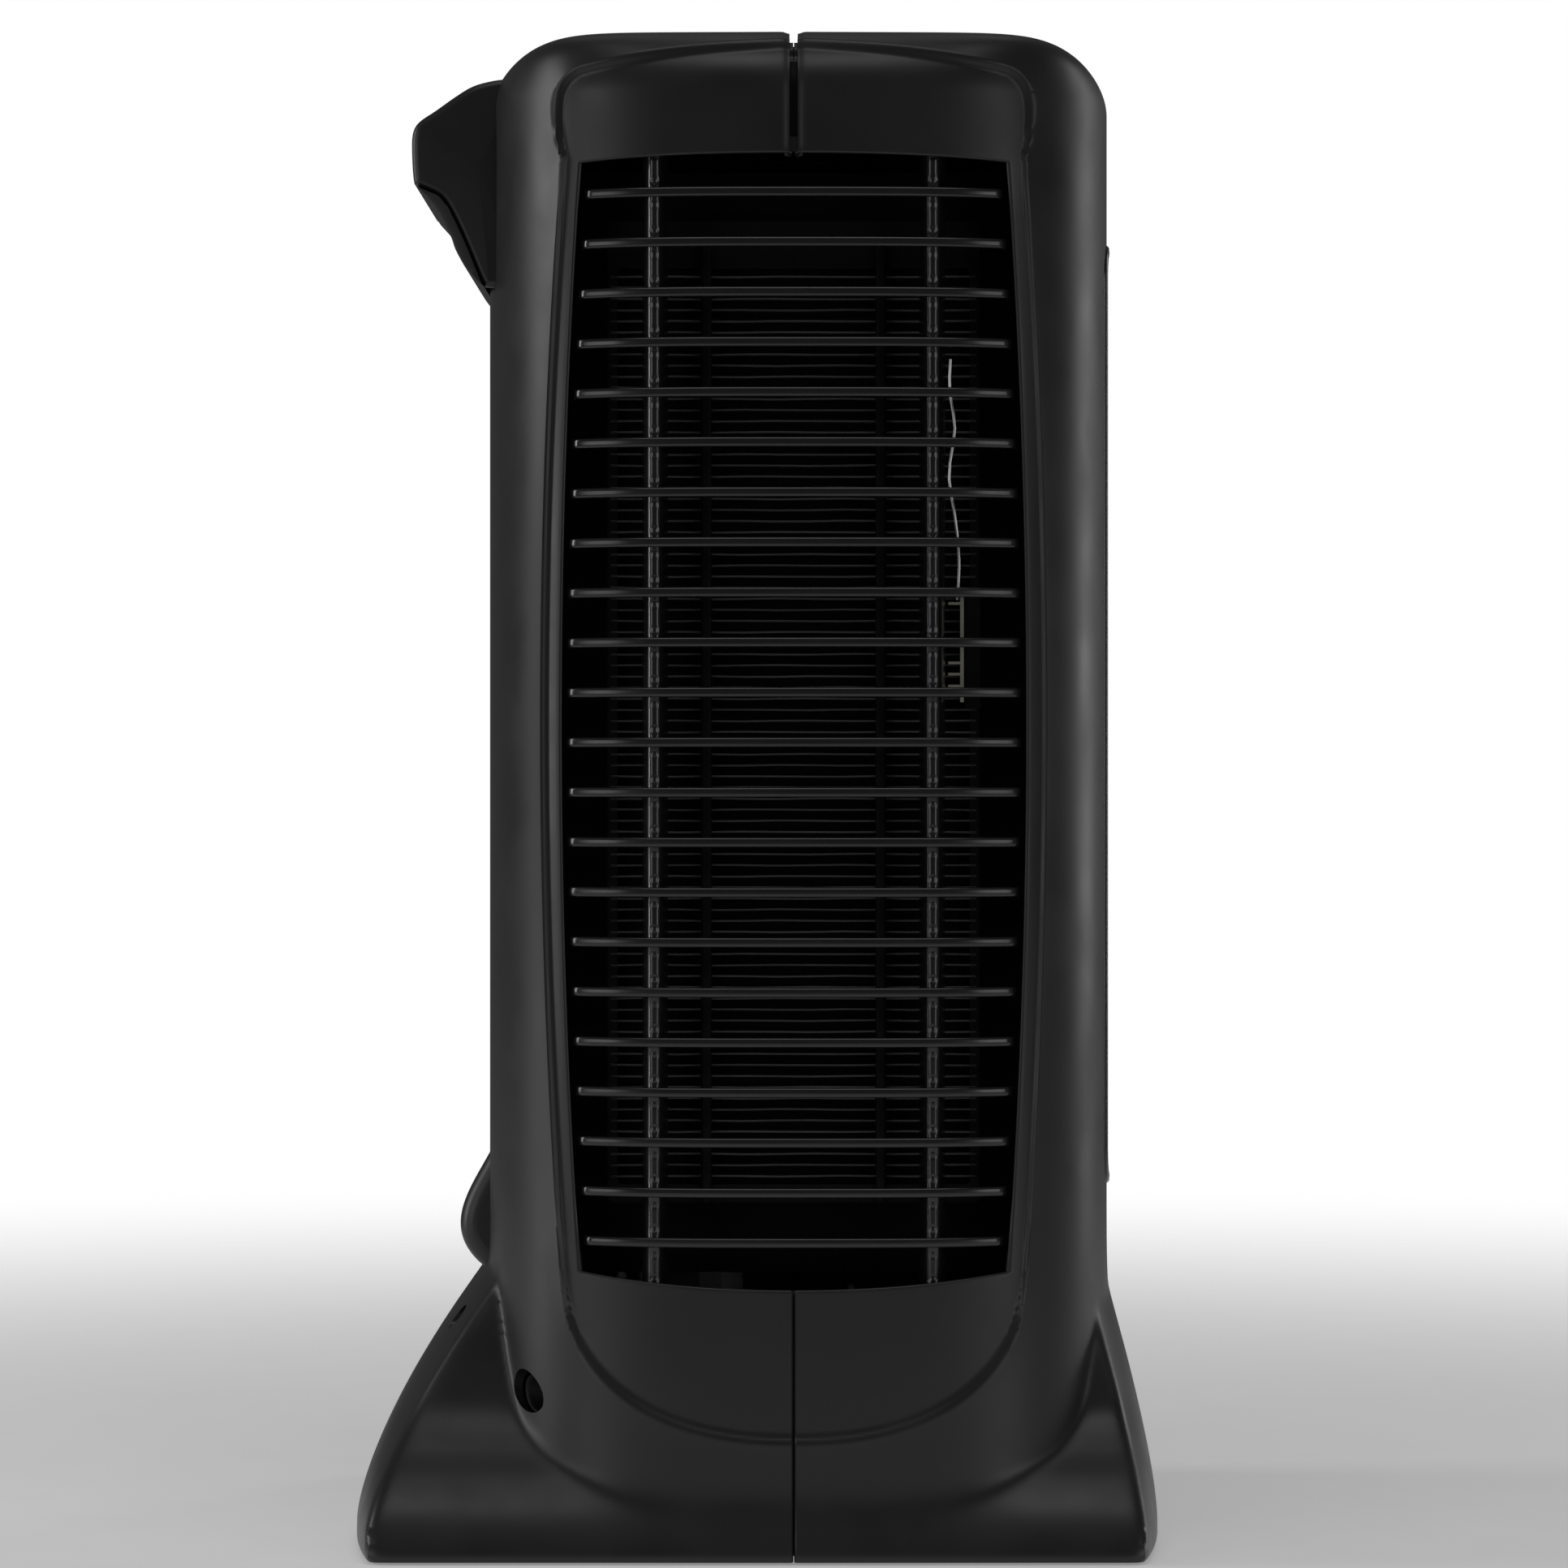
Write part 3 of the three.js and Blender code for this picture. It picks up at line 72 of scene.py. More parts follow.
SEAM = (span("front_shell", 0)[0] + span("rear_shell", 0)[1]) / 2      # joint between the shell halves
HEIGHT = span("front_shell", 2)[1]
RIM = span("front_shell", 2)[0]
TOWER_DEPTH = 96.9           # half depth of the tower's plan
TOWER_WIDTH = 106.0          # half width of the tower's plan
TOWER_MID = SEAM + 1.6
TOWER_POWER = 3.4
BASE_BACK, BASE_FRONT = -123.2, 123.2
BASE_BOW, BASE_CORNER = 8.0, 1.5
FLARE_TOP = 82.0
ROUND_OUT, ROUND_DOWN = 26.0, 19.0
OPEN_LOW, OPEN_HIGH = 81.4, HEIGHT - 38.4
OPEN_HALF, OPEN_NARROWING = 71.2, 6.4
SAG_LOW, SAG_HIGH = 4.9, 2.0
OUTLET_HALF, OUTLET_LOW, OUTLET_HIGH = 47.06, 112.0, 397.0
LOUVRES = 22
LOUVRE_FIRST, LOUVRE_LAST = OPEN_LOW + 13.9, OPEN_HIGH - 11.3
RIB_OFFSET = 41.8
TOWER_BACK = TOWER_MID - TOWER_DEPTH
CORD_X, CORD_Y, CORD_Z, CORD_RADIUS, CORD_SLOPE = -70.6, -82.2, 49.0, 6.2, 0.4
WELL_Y, WELL_RADIUS, WELL_HEIGHTS = 49.82, 3.7, (68.0, HEIGHT - 25)     # wells of the shell screws
RECESS_MARGIN = 4.6          # from the side opening to the sunk panel's edge
SLATS = 18                   # in the outlet grille
PANEL = (24.2, 76.5, -44.5, 44.5)     # control panel: back, front, right, left


# ---- Mesh making ---------------------------------------------------------------------------------
def grid_faces(rows, columns, offset=0, wrap=False):
    """Quads of a rows by columns grid stored row by row; wrap joins the last column to the first."""
    across = np.arange(columns if wrap else columns - 1)
    near, far = np.meshgrid(np.arange(rows - 1), across, indexing="ij")
    right = (far + 1) % columns
    quads = np.stack([near * columns + far, near * columns + right,
                      (near + 1) * columns + right, (near + 1) * columns + far], axis=-1)
    return quads.reshape(-1, 4) + offset


def volume_sign(points, faces):
    """Sign of the volume inside closed faces: the sum of tetrahedra from the origin to the fan triangles."""
    total = 0.0
    for block in faces:
        first = points[block[:, 0]]
        for k in range(1, block.shape[1] - 1):
            total += np.einsum("ij,ij->", first, np.cross(points[block[:, k]], points[block[:, k + 1]]))
    return 1.0 if total >= 0 else -1.0


def outward(points, faces):
    """The same closed faces, turned round if they enclose a negative volume."""
    if volume_sign(points, faces) < 0:
        faces = [block[:, ::-1] for block in faces]
    return points, faces


def skin(rings):
    """Closed surface over rings (stations, ring points, 3): quads between them, a flat face at each end."""
    stations, ring, _ = rings.shape
    points = rings.reshape(-1, 3)
    caps = np.stack([np.arange(ring)[::-1], np.arange(ring) + (stations - 1) * ring])
    return outward(points, [grid_faces(stations, ring, wrap=True), caps])


def ring_skin(rings):
    """Closed ring-shaped surface: the last station joins the first and each station is a closed loop."""
    stations, ring, _ = rings.shape
    looped = np.concatenate([grid_faces(stations, ring, wrap=True),
                             np.stack([(stations - 1) * ring + np.arange(ring),
                                       (stations - 1) * ring + (np.arange(ring) + 1) % ring,
                                       (np.arange(ring) + 1) % ring, np.arange(ring)], axis=-1)])
    return outward(rings.reshape(-1, 3), [looped])


def merged(parts):
    """One list of points and faces from several (points, faces) parts."""
    points, faces, offset = [], [], 0
    for part_points, part_faces in parts:
        points.append(part_points)
        faces.extend(block + offset for block in part_faces)
        offset += len(part_points)
    return np.concatenate(points), faces


def mesh_object(name, points, faces, sharp=35.0):
    """Object at the origin from points (millimetres) and face blocks; edges over sharp degrees stay crisp."""
    mesh = bpy.data.meshes.new(name)
    mesh.vertices.add(len(points))
    mesh.vertices.foreach_set("co", np.ascontiguousarray(points * MM, np.float32).ravel())
    loops = np.concatenate([block.ravel() for block in faces]).astype(np.int32)
    sizes = np.concatenate([np.full(len(block), block.shape[1]) for block in faces]).astype(np.int32)
    mesh.loops.add(len(loops))
    mesh.loops.foreach_set("vertex_index", loops)
    mesh.polygons.add(len(sizes))
    mesh.polygons.foreach_set("loop_start", np.concatenate([[0], np.cumsum(sizes)[:-1]]).astype(np.int32))
    mesh.update(calc_edges=True)
    mesh.validate()
    thing = bpy.data.objects.new(name, mesh)
    bpy.context.scene.collection.objects.link(thing)
    smooth(thing, sharp)
    return thing


def smooth(thing, sharp=35.0):
    """Smooth shading, with edges that turn more than sharp degrees kept crisp."""
    mesh = thing.data
    mesh.shade_smooth()
    mesh.set_sharp_from_angle(angle=math.radians(sharp))
    sizes = np.zeros(len(mesh.polygons), np.int32)
    starts = np.zeros(len(mesh.polygons), np.int32)
    mesh.polygons.foreach_get("loop_total", sizes)
    mesh.polygons.foreach_get("loop_start", starts)
    edge_of = np.zeros(len(mesh.loops), np.int32)
    mesh.loops.foreach_get("edge_index", edge_of)
    crisp = mesh.attributes.get("sharp_edge") or mesh.attributes.new("sharp_edge", "BOOLEAN", "EDGE")
    flags = np.zeros(len(mesh.edges), bool)
    crisp.data.foreach_get("value", flags)
    for face in np.nonzero(sizes > 8)[0]:
        flags[edge_of[starts[face]:starts[face] + sizes[face]]] = True
    crisp.data.foreach_set("value", flags)


def weld(thing, distance=1e-6):
    """Merges points closer than distance (metres) and drops faces that vanish with them."""
    work = bmesh.new()
    work.from_mesh(thing.data)
    bmesh.ops.remove_doubles(work, verts=work.verts, dist=distance)
    bmesh.ops.dissolve_degenerate(work, edges=work.edges, dist=distance)
    work.to_mesh(thing.data)
    work.free()


def settle(thing, sharp=35.0):
    """Replaces the mesh by its modifiers' result, and takes the modifiers off."""
    graph = bpy.context.evaluated_depsgraph_get()
    finished = bpy.data.meshes.new_from_object(thing.evaluated_get(graph))
    thing.modifiers.clear()
    thing.data = finished
    smooth(thing, sharp)


def cut(thing, cutters, sharp=35.0):
    """Subtracts closed cutter objects from a closed thing, then removes them."""
    for cutter in cutters:
        tool = thing.modifiers.new("cut", "BOOLEAN")
        tool.operation = "DIFFERENCE"
        tool.solver = "MANIFOLD"
        tool.object = cutter
    settle(thing, sharp)
    for cutter in cutters:
        bpy.data.objects.remove(cutter)


def finish_piece(thing, finish, nodes=(), body="body"):
    """Gives a piece its material, hides the frame nodes that it stands for and attaches it to the body that
    carries it.
    """
    thing.data.materials.clear()
    thing.data.materials.append(finish)
    if nodes:
        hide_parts(*nodes)
    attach(thing, body)
    return thing


# ---- Curves and sections -------------------------------------------------------------------------
def smooth_step(value):
    """0 below 0, 1 above 1, and 3v^2 - 2v^3 between."""
    v = np.clip(value, 0, 1)
    return v * v * (3 - 2 * v)


def flowing(points, per=6, closed=True):
    """Catmull-Rom curve through control points, per points to a span; no point is given twice in a row."""
    knots = np.asarray(points, float)
    count = len(knots)
    spans = count if closed else count - 1
    take = (lambda i: knots[i % count]) if closed else (lambda i: knots[min(max(i, 0), count - 1)])
    t = np.linspace(0, 1, per, endpoint=False)[:, None]
    runs = []
    for i in range(spans):
        a, b, c, d = take(i - 1), take(i), take(i + 1), take(i + 2)
        runs.append(0.5 * (2 * b + (c - a) * t + (2 * a - 5 * b + 4 * c - d) * t ** 2
                           + (3 * b - a - 3 * c + d) * t ** 3))
    if not closed:
        runs.append(knots[-1:])
    return np.concatenate(runs)


def spaced(curve, count, closed=True):
    """count points an equal distance apart along a polyline."""
    line = np.vstack([curve, curve[:1]]) if closed else curve
    run = np.concatenate([[0], np.cumsum(np.linalg.norm(np.diff(line, axis=0), axis=1))])
    stops = np.linspace(0, run[-1], count, endpoint=not closed)
    return np.stack([np.interp(stops, run, line[:, k]) for k in range(line.shape[1])], axis=-1)


def inset_loop(loop, distance):
    """A closed loop moved inward along its own normals, which are its tangents turned a quarter."""
    tangent = np.roll(loop, -1, axis=0) - np.roll(loop, 1, axis=0)
    tangent /= np.linalg.norm(tangent, axis=1, keepdims=True) + 1e-12
    normal = np.stack([-tangent[:, 1], tangent[:, 0]], axis=-1)
    following = np.roll(loop, -1, axis=0)
    area = np.sum(loop[:, 0] * following[:, 1] - following[:, 0] * loop[:, 1])
    return loop + normal * distance * (1 if area > 0 else -1)


def rounded_rectangle(u0, u1, v0, v1, radius, steps=10):
    """Closed loop round a rectangle with quarter-circle corners."""
    angle = np.linspace(0, math.pi / 2, steps)
    corners = [(u1 - radius, v1 - radius, 0), (u0 + radius, v1 - radius, 1),
               (u0 + radius, v0 + radius, 2), (u1 - radius, v0 + radius, 3)]
    return np.concatenate([np.stack([u + radius * np.cos(angle + k * math.pi / 2),
                                     v + radius * np.sin(angle + k * math.pi / 2)], axis=-1)
                           for u, v, k in corners])


def block_along(axis, loop, start, end, edge, steps=6):
    """A closed loop carried along an axis (0, 1 or 2), its rims rounded by quarter circles of radius edge."""
    turn = np.linspace(0, math.pi / 2, steps)
    inset = edge * (1 - np.sin(turn))
    along = edge * (1 - np.cos(turn))
    places = np.concatenate([start + along, (end - along)[::-1]])
    insets = np.concatenate([inset, inset[::-1]])
    rings = []
    for place, distance in zip(places, insets):
        ring = inset_loop(loop, distance)
        rings.append(np.insert(ring, axis, place, axis=1))
    return skin(np.array(rings))


def crowned_block(loop, start, end, edge, crown, centre):
    """A closed loop carried along Y, its rims rounded by quarter circles of radius edge.

    Each end is closed by copies of the loop that shrink to the centre and bulge by crown (1 - s^2)
    at share s."""
    shares = np.linspace(0.01, 1, 16)
    turn = np.linspace(0, math.pi / 2, 8)[1:]
    inset = np.concatenate([np.full(16, edge), edge * (1 - np.sin(turn))])
    share = np.concatenate([shares, np.ones(7)])
    along = np.concatenate([crown * shares ** 2, crown + edge * (1 - np.cos(turn))])
    places = np.concatenate([start + along, (end - along)[::-1]])
    rings = []
    for place, distance, size in zip(places, np.append(inset, inset[::-1]), np.append(share, share[::-1])):
        ring = centre + (inset_loop(loop, distance) - centre) * size
        rings.append(np.insert(ring, 1, place, axis=1))
    return skin(np.array(rings))


def lens_strip(outer, inner, half, count=40):
    """A strip along Y between two open curves with shared ends; its outer rims are softened."""
    outer, inner = spaced(outer, count, False), spaced(inner, count, False)
    section = ((0, 0.7 - half), (0, half - 0.7), (0.08, half - 0.25), (0.25, half), (1, half),
               (1, -half), (0.25, -half), (0.08, 0.25 - half))
    rings = []
    for near, far in zip(outer, inner):
        rings.append([[near[0] + t * (far[0] - near[0]), y, near[1] + t * (far[1] - near[1])]
                      for t, y in section])
    return skin(np.array(rings))


def turned(profile, x, y, count=40):
    """(radius, height) profile turned round a vertical axis at (x, y); both ends close on the axis."""
    angle = np.linspace(0, 2 * math.pi, count, endpoint=False)
    profile = np.asarray(profile, float)
    rings = np.stack([x + profile[:, :1] * np.cos(angle), y + profile[:, :1] * np.sin(angle),
                      np.repeat(profile[:, 1:], count, axis=1)], axis=-1)
    return skin(rings)


def bar_x(x0, x1, y, z, radius, count=40, slope=0.0, pivot=0.0):
    """A round bar along X, used as a cutter; slope drops it as x grows beyond the pivot."""
    angle = np.linspace(0, 2 * math.pi, count, endpoint=False)
    ring = np.stack([y + radius * np.cos(angle), z + radius * np.sin(angle)], axis=-1)
    rings = np.array([np.column_stack([np.full(count, x), ring - [0, slope * (x - pivot)]])
                      for x in (x0, x1)])
    return skin(rings)


def tower_side(x, inset=0.0):
    """Half width of the tower at x: b(1 - |x/a|^n)^(1/n), with a and b less the inset."""
    ratio = np.clip(np.abs(x - TOWER_MID) / (TOWER_DEPTH - inset), 0, 1)
    return (TOWER_WIDTH - inset) * (1 - ratio ** TOWER_POWER) ** (1 / TOWER_POWER)


def open_half(z):
    """Half length of the side opening at a height: widest in the middle and a parabola towards its ends."""
    middle = (OPEN_HIGH + OPEN_LOW) / 2
    t = np.clip((z - middle) / ((OPEN_HIGH - OPEN_LOW) / 2), -1, 1)
    return OPEN_HALF - OPEN_NARROWING * t * t


# ---- Shell halves --------------------------------------------------------------------------------
def base_half_width(z):
    """Half width of the flared foot at a height, on a smooth curve through a few heights."""
    heights = np.array([-6.0, 0.8, 8.0, 16.0, 24.0, 32.0, 42.0, 55.0, 72.0, 98.0])
    widths = np.array([113.4, 112.0, 109.2, 104.2, 96.6, 87.2, 78.2, 72.4, 65.6, 53.0])
    dense = flowing(np.stack([heights, widths], axis=-1), 24, closed=False)
    return np.interp(z, dense[:, 0], dense[:, 1])


def base_reach(direction, z):
    """Distance from the seam's middle to the foot's outline along a direction in plan.

    The outline has flat sides |y| = half, and a back and a front that bow: |x - c| = a - bow |y / half|^3.
    Halving the interval thirty times finds the bowed edge, and a soft minimum rounds the corner between
    them."""
    t = np.clip((z - 8) / (FLARE_TOP - 8), 0, 1.2)
    rise = t ** 1.45
    tuck = 1.6 * np.clip(1 - z / 4, 0, 1) ** 2
    back = BASE_BACK - 1.6 + 38.2 * rise + tuck
    front = BASE_FRONT + 0.6 - 16.4 * rise - tuck
    half = base_half_width(z) - tuck
    centre, reach = (front + back) / 2, (front - back) / 2
    low, high = np.zeros(z.shape), np.full(z.shape, 220.0)
    for _ in range(30):
        middle = (low + high) / 2
        x = SEAM + direction[..., 0] * middle - centre
        y = direction[..., 1] * middle
        inside = np.abs(x) < reach - BASE_BOW * (np.abs(y) / half) ** 3
        low, high = np.where(inside, middle, low), np.where(inside, high, middle)
    bowed = (low + high) / 2
    flat = half / np.maximum(np.abs(direction[..., 1]), 1e-4)
    softness = BASE_CORNER
    return np.minimum(bowed, flat) - softness * np.log1p(np.exp(-np.abs(bowed - flat) / softness))


def recess_outline():
    """Outline (from the seam, height) of the sunk panel: up the grille's sides, a broad U below it."""
    half = OPEN_HALF + RECESS_MARGIN
    low = OPEN_LOW + 6
    turn = np.linspace(math.pi, 2 * math.pi, 60)
    c, s = np.cos(turn), np.sin(turn)
    bowl = np.stack([(half - 6.2) * np.sign(c) * np.abs(c) ** (2 / 2.25),
                     low + (low - 36.8) * np.sign(s) * np.abs(s) ** (2 / 2.25)], axis=-1)
    heights = np.linspace(OPEN_LOW + 8, OPEN_HIGH, 40)
    side = np.stack([open_half(heights) + RECESS_MARGIN, heights], axis=-1)
    crown = flowing([[70.2, OPEN_HIGH + 3], [71.2, 434], [70.4, 441], [66.5, 446.2], [58, 448.6],
                     [30, 453], [0, 455.4]], 8, closed=False)
    right = np.concatenate([side, crown])
    left = right[::-1][1:] * [-1, 1]
    return np.concatenate([bowl, right, left])


def signed_distance(u, z, loop):
    """Distance from points to a closed loop, negative inside: nearest point on a side, a crossing count."""
    after = np.roll(loop, -1, axis=0)
    nearest = np.full(u.shape, 1e9)
    inside = np.zeros(u.shape, bool)
    for (u0, z0), (u1, z1) in zip(loop, after):
        du, dz = u1 - u0, z1 - z0
        length = du * du + dz * dz
        if length < 1e-12:
            continue
        t = np.clip(((u - u0) * du + (z - z0) * dz) / length, 0, 1)
        nearest = np.minimum(nearest, np.hypot(u - u0 - t * du, z - z0 - t * dz))
        if abs(dz) > 1e-12:
            crosses = ((z0 > z) != (z1 > z)) & (u < u0 + (z - z0) * du / dz)
            inside ^= crosses
    return np.where(inside, -nearest, nearest)


def shell_rows():
    """Heights of the shell's rows below the top rounding, and how far each follows the opening's ends."""
    low_edge = np.array([0, .12, .3, .55, .8, 1.5, 2.5])
    foot = np.concatenate([[RIM, 1.2, 1.8, 2.6, 3.6], np.arange(4.6, 34, 1.1),
                           np.arange(34, OPEN_LOW - 3.2, 0.95)])
    below = (OPEN_LOW - low_edge)[::-1]
    inner = np.linspace(OPEN_LOW + 6, OPEN_HIGH - 6, 32)
    above = OPEN_HIGH + np.array([0, .12, .3, .55, .8, 1.5, 2.5, 4, 6, 8.5, 11, 13.5, 16, 17.6])
    heights = np.concatenate([foot, below, inner, above])
    low_pull = np.clip(1 - np.abs(heights - OPEN_LOW) / 24, 0, 1) * SAG_LOW
    high_pull = -np.clip(1 - np.abs(heights - OPEN_HIGH) / 18, 0, 1) * SAG_HIGH
    return heights, low_pull + high_pull


def shell_points(sign):
    """Quarter of a shell half (rows, columns, 3), from the seam round to the middle of its face.

    A row is the tower's superellipse at that height. Columns keep fixed distances from the seam, then
    follow the opening's edge, then run round the corner by arc length. The top rounding shrinks the
    superellipse along an ellipse. Moving the points out to the flared foot is left to flared()."""
    seam = np.array([.15, .25, .4, .7, 1.15, 1.25, 1.29, 1.4, 1.8, 2.4, 3.2, 4.2, 6.0])
    across = np.linspace(0, 1, 49)[1:-1]
    past = np.array([0, .12, .3, .55, .8, 1.6, 2.6, 3.4, 3.9, 4.2, 4.4, 4.6, 4.8, 5.0, 5.3, 5.8, 6.6, 7.8])
    corner = np.concatenate([np.arange(1, 29) * 1.45, 40.6 + np.arange(1, 19) * 3.2])
    heights, pulls = shell_rows()
    turn = np.radians(np.concatenate([np.arange(0, 60, 2.0), np.linspace(60, 90, 13)]))
    all_heights = np.concatenate([heights, HEIGHT - ROUND_DOWN * (1 - np.sin(turn))])
    shrinks = np.concatenate([np.zeros(len(heights)), ROUND_OUT * (1 - np.cos(turn))])
    all_pulls = np.concatenate([pulls, np.zeros(len(turn))])
    middle = sign * (TOWER_MID - SEAM)
    quarter = np.linspace(0, math.pi / 2, 900)
    rows = []
    for z, shrink, pull in zip(all_heights, shrinks, all_pulls):
        a, b = TOWER_DEPTH - shrink, TOWER_WIDTH - 0.76 * shrink
        power = TOWER_POWER + 4.5 * (shrink / ROUND_OUT) ** 1.3
        edge = open_half(z)
        q = np.concatenate([seam, 6 + (edge - 6) * across, edge + past])
        u = np.clip(q / edge, 0, 1)
        q = q - shrink * (q / (TOWER_DEPTH + middle)) ** 3
        side = -b * (1 - (np.abs(q - middle) / a) ** power) ** (1 / power)
        curve_q = middle + a * np.sin(quarter) ** (2 / power)
        curve_y = -b * np.cos(quarter) ** (2 / power)
        run = np.concatenate([[0], np.cumsum(np.hypot(np.diff(curve_q), np.diff(curve_y)))])
        start = np.interp(q[-1], curve_q, run)
        stops = start + (run[-1] - start) * corner / corner[-1]
        tail_q, tail_y = np.interp(stops, run, curve_q), np.interp(stops, run, curve_y)
        tail_y[-1] = 0
        full_q, full_y = np.concatenate([q, tail_q]), np.concatenate([side, tail_y])
        full_u = np.concatenate([u, np.ones(len(tail_q))])
        rows.append(np.stack([full_q, full_y, z + pull * full_u ** 2], axis=-1))
    points = np.array(rows)
    opened = len(seam) + len(across)
    row_low = int(np.argmin(np.abs(heights - OPEN_LOW)))
    row_high = int(np.argmin(np.abs(heights - OPEN_HIGH)))
    return points, opened, row_low, row_high


def flared(points, sign):
    """Moves points out to the foot where it stands beyond the tower, with a soft groove along the join."""
    planar = points[..., :2]
    reach = np.linalg.norm(planar, axis=-1)
    direction = planar / reach[..., None]
    turned_way = direction * [sign, 1]
    low = points[..., 2] < FLARE_TOP + 14
    foot = np.where(low, base_reach(turned_way, np.minimum(points[..., 2], FLARE_TOP + 14)), 0)
    gap = np.where(low, foot - reach, -50)
    upper = smooth_step((points[..., 2] - 20) / 26)
    softness = 2.1 - 0.6 * upper
    lifted = reach + softness * np.logaddexp(0, gap / softness)
    groove = np.where(low, upper * 0.3 * np.exp(-(gap / 1.8) ** 2), 0)
    points[..., :2] = direction * (lifted - groove)[..., None]
    return points


def surface_normals(points):
    """Unit normals of a grid from the cross product of its two directions."""
    along = np.gradient(points, axis=1)
    up = np.gradient(points, axis=0)
    normal = np.cross(along, up)
    return normal / (np.linalg.norm(normal, axis=-1, keepdims=True) + 1e-12)


def seam_depth(q, z):
    """Depth of the seam's groove: a narrow slot with soft shoulders above the grille, a fine line below."""
    upper = smooth_step((z - OPEN_HIGH + 1) / 3)
    slot = np.where(q < 1.2, 3.3, 0) + np.where(q >= 1.2, 0.6 * (1 - smooth_step((q - 1.25) / 2.4)), 0)
    line = 0.7 * (1 - smooth_step((q - 0.12) / 0.5))
    return upper * slot + (1 - upper) * line


def shell_half(name, sign, wall):
    """One shell half with its recess, seam, rolled opening edge and top, before its wall is thickened."""
    points, opened, row_low, row_high = shell_points(sign)
    points = flared(points, sign)
    normal = surface_normals(points)
    if normal[row_low, opened, 1] > 0:
        normal = -normal
    q, z = points[..., 0], points[..., 2]
    away = signed_distance(q * sign, z, recess_outline())
    away = np.where(points[..., 1] > -20, 50, away)
    blur = 0.75 + 2.2 * smooth_step((OPEN_LOW - 3 - z) / 18) + 1.7 * smooth_step((z - OPEN_HIGH - 2) / 14)
    sunk = 1.25 * smooth_step((0.5 * blur - away) / blur)
    bead_rise = 0.6 - 0.4 * smooth_step((OPEN_LOW - z) / 25)
    bead = bead_rise * np.exp(-np.maximum(away - 0.5 * blur, 0) / 2.6) * smooth_step((away + 0.5 * blur) / blur)
    depth = sunk - bead + seam_depth(q, z)
    rows, columns = q.shape
    edge = open_half(z)
    side_gap = q - edge
    low_line = OPEN_LOW + SAG_LOW * np.clip(q / edge, 0, 1) ** 2
    high_line = OPEN_HIGH - SAG_HIGH * np.clip(q / edge, 0, 1) ** 2
    to_edge = np.hypot(np.maximum(side_gap, 0), np.maximum(np.maximum(low_line - z, z - high_line), 0))
    lip = 0.8
    rolled = np.where(to_edge < lip, lip - np.sqrt(np.maximum(lip ** 2 - (lip - to_edge) ** 2, 0)), 0)
    points = points - normal * (depth + rolled)[..., None]
    points[:, -1, 1] = 0
    index = np.arange(rows * columns).reshape(rows, columns)
    quads = grid_faces(rows, columns).reshape(rows - 1, columns - 1, 4)
    keep = np.ones((rows - 1, columns - 1), bool)
    keep[row_low:row_high, :opened] = False
    quads = quads[keep]
    place = points.reshape(-1, 3)

    # Strip along the seam over the flat top, then one flat face for the rest of the top.
    last = 12
    crown = points[-1]
    share = np.linspace(0, 1, 25)[:, None]
    strip = np.stack([np.repeat(crown[None, :last + 1, 0], 25, axis=0),
                      crown[None, :last + 1, 1] * (1 - share),
                      np.repeat(crown[None, :last + 1, 2], 25, axis=0)], axis=-1)
    offset = len(place)
    strip_faces = grid_faces(25, last + 1, offset)
    place = np.concatenate([place, strip.reshape(-1, 3)])
    border = list(index[-1, last:])
    if sign > 0:
        hole = rounded_rectangle(PANEL[0] - SEAM - .3, PANEL[1] - SEAM + .3,
                                 PANEL[2] - .3, PANEL[3] + .3, 9, 10)
        hole = hole[hole[:, 1] < 1e-6][::-1]
        hole = np.concatenate([[[PANEL[1] - SEAM + .3, 0]], hole, [[PANEL[0] - SEAM - .3, 0]]])
        rim = np.column_stack([hole, np.full(len(hole), HEIGHT)])
        middle = np.array([(PANEL[0] + PANEL[1]) / 2 - SEAM, 0, HEIGHT])
        grown = middle + (rim - middle) * [1 + 0.6 / 26, 1 + 0.6 / 45, 1]
        dropped = rim - [0, 0, 0.55]
        start = len(place)
        place = np.concatenate([place, grown, dropped])
        border += list(np.arange(start, start + len(grown)))
        chamfer = grid_faces(2, len(grown), start)
    else:
        chamfer = np.zeros((0, 4), int)
    border += list(offset + np.arange(24, -1, -1) * (last + 1) + last)[:-1]
    border = np.array(border)[None, :]

    place = place * [sign, 1, 1] + [SEAM, 0, 0]
    other = place * [1, -1, 1]
    everything = np.concatenate([place, other])
    here = [quads, strip_faces, chamfer, border]
    faces = []
    for block in here:
        if len(block):
            faces.append(block)
            faces.append(block[:, ::-1] + len(place))
    thing = mesh_object(name, everything, faces)
    weld(thing, 2e-6)
    work = bmesh.new()
    work.from_mesh(thing.data)
    bmesh.ops.recalc_face_normals(work, faces=work.faces)
    balance = sum(f.normal.y * f.calc_center_median().y * f.calc_area() for f in work.faces)
    if balance < 0:
        bmesh.ops.reverse_faces(work, faces=work.faces)
    work.to_mesh(thing.data)
    work.free()
    solid = thing.modifiers.new("wall", "SOLIDIFY")
    solid.thickness = wall * MM
    solid.offset = -1
    settle(thing)
    return thing


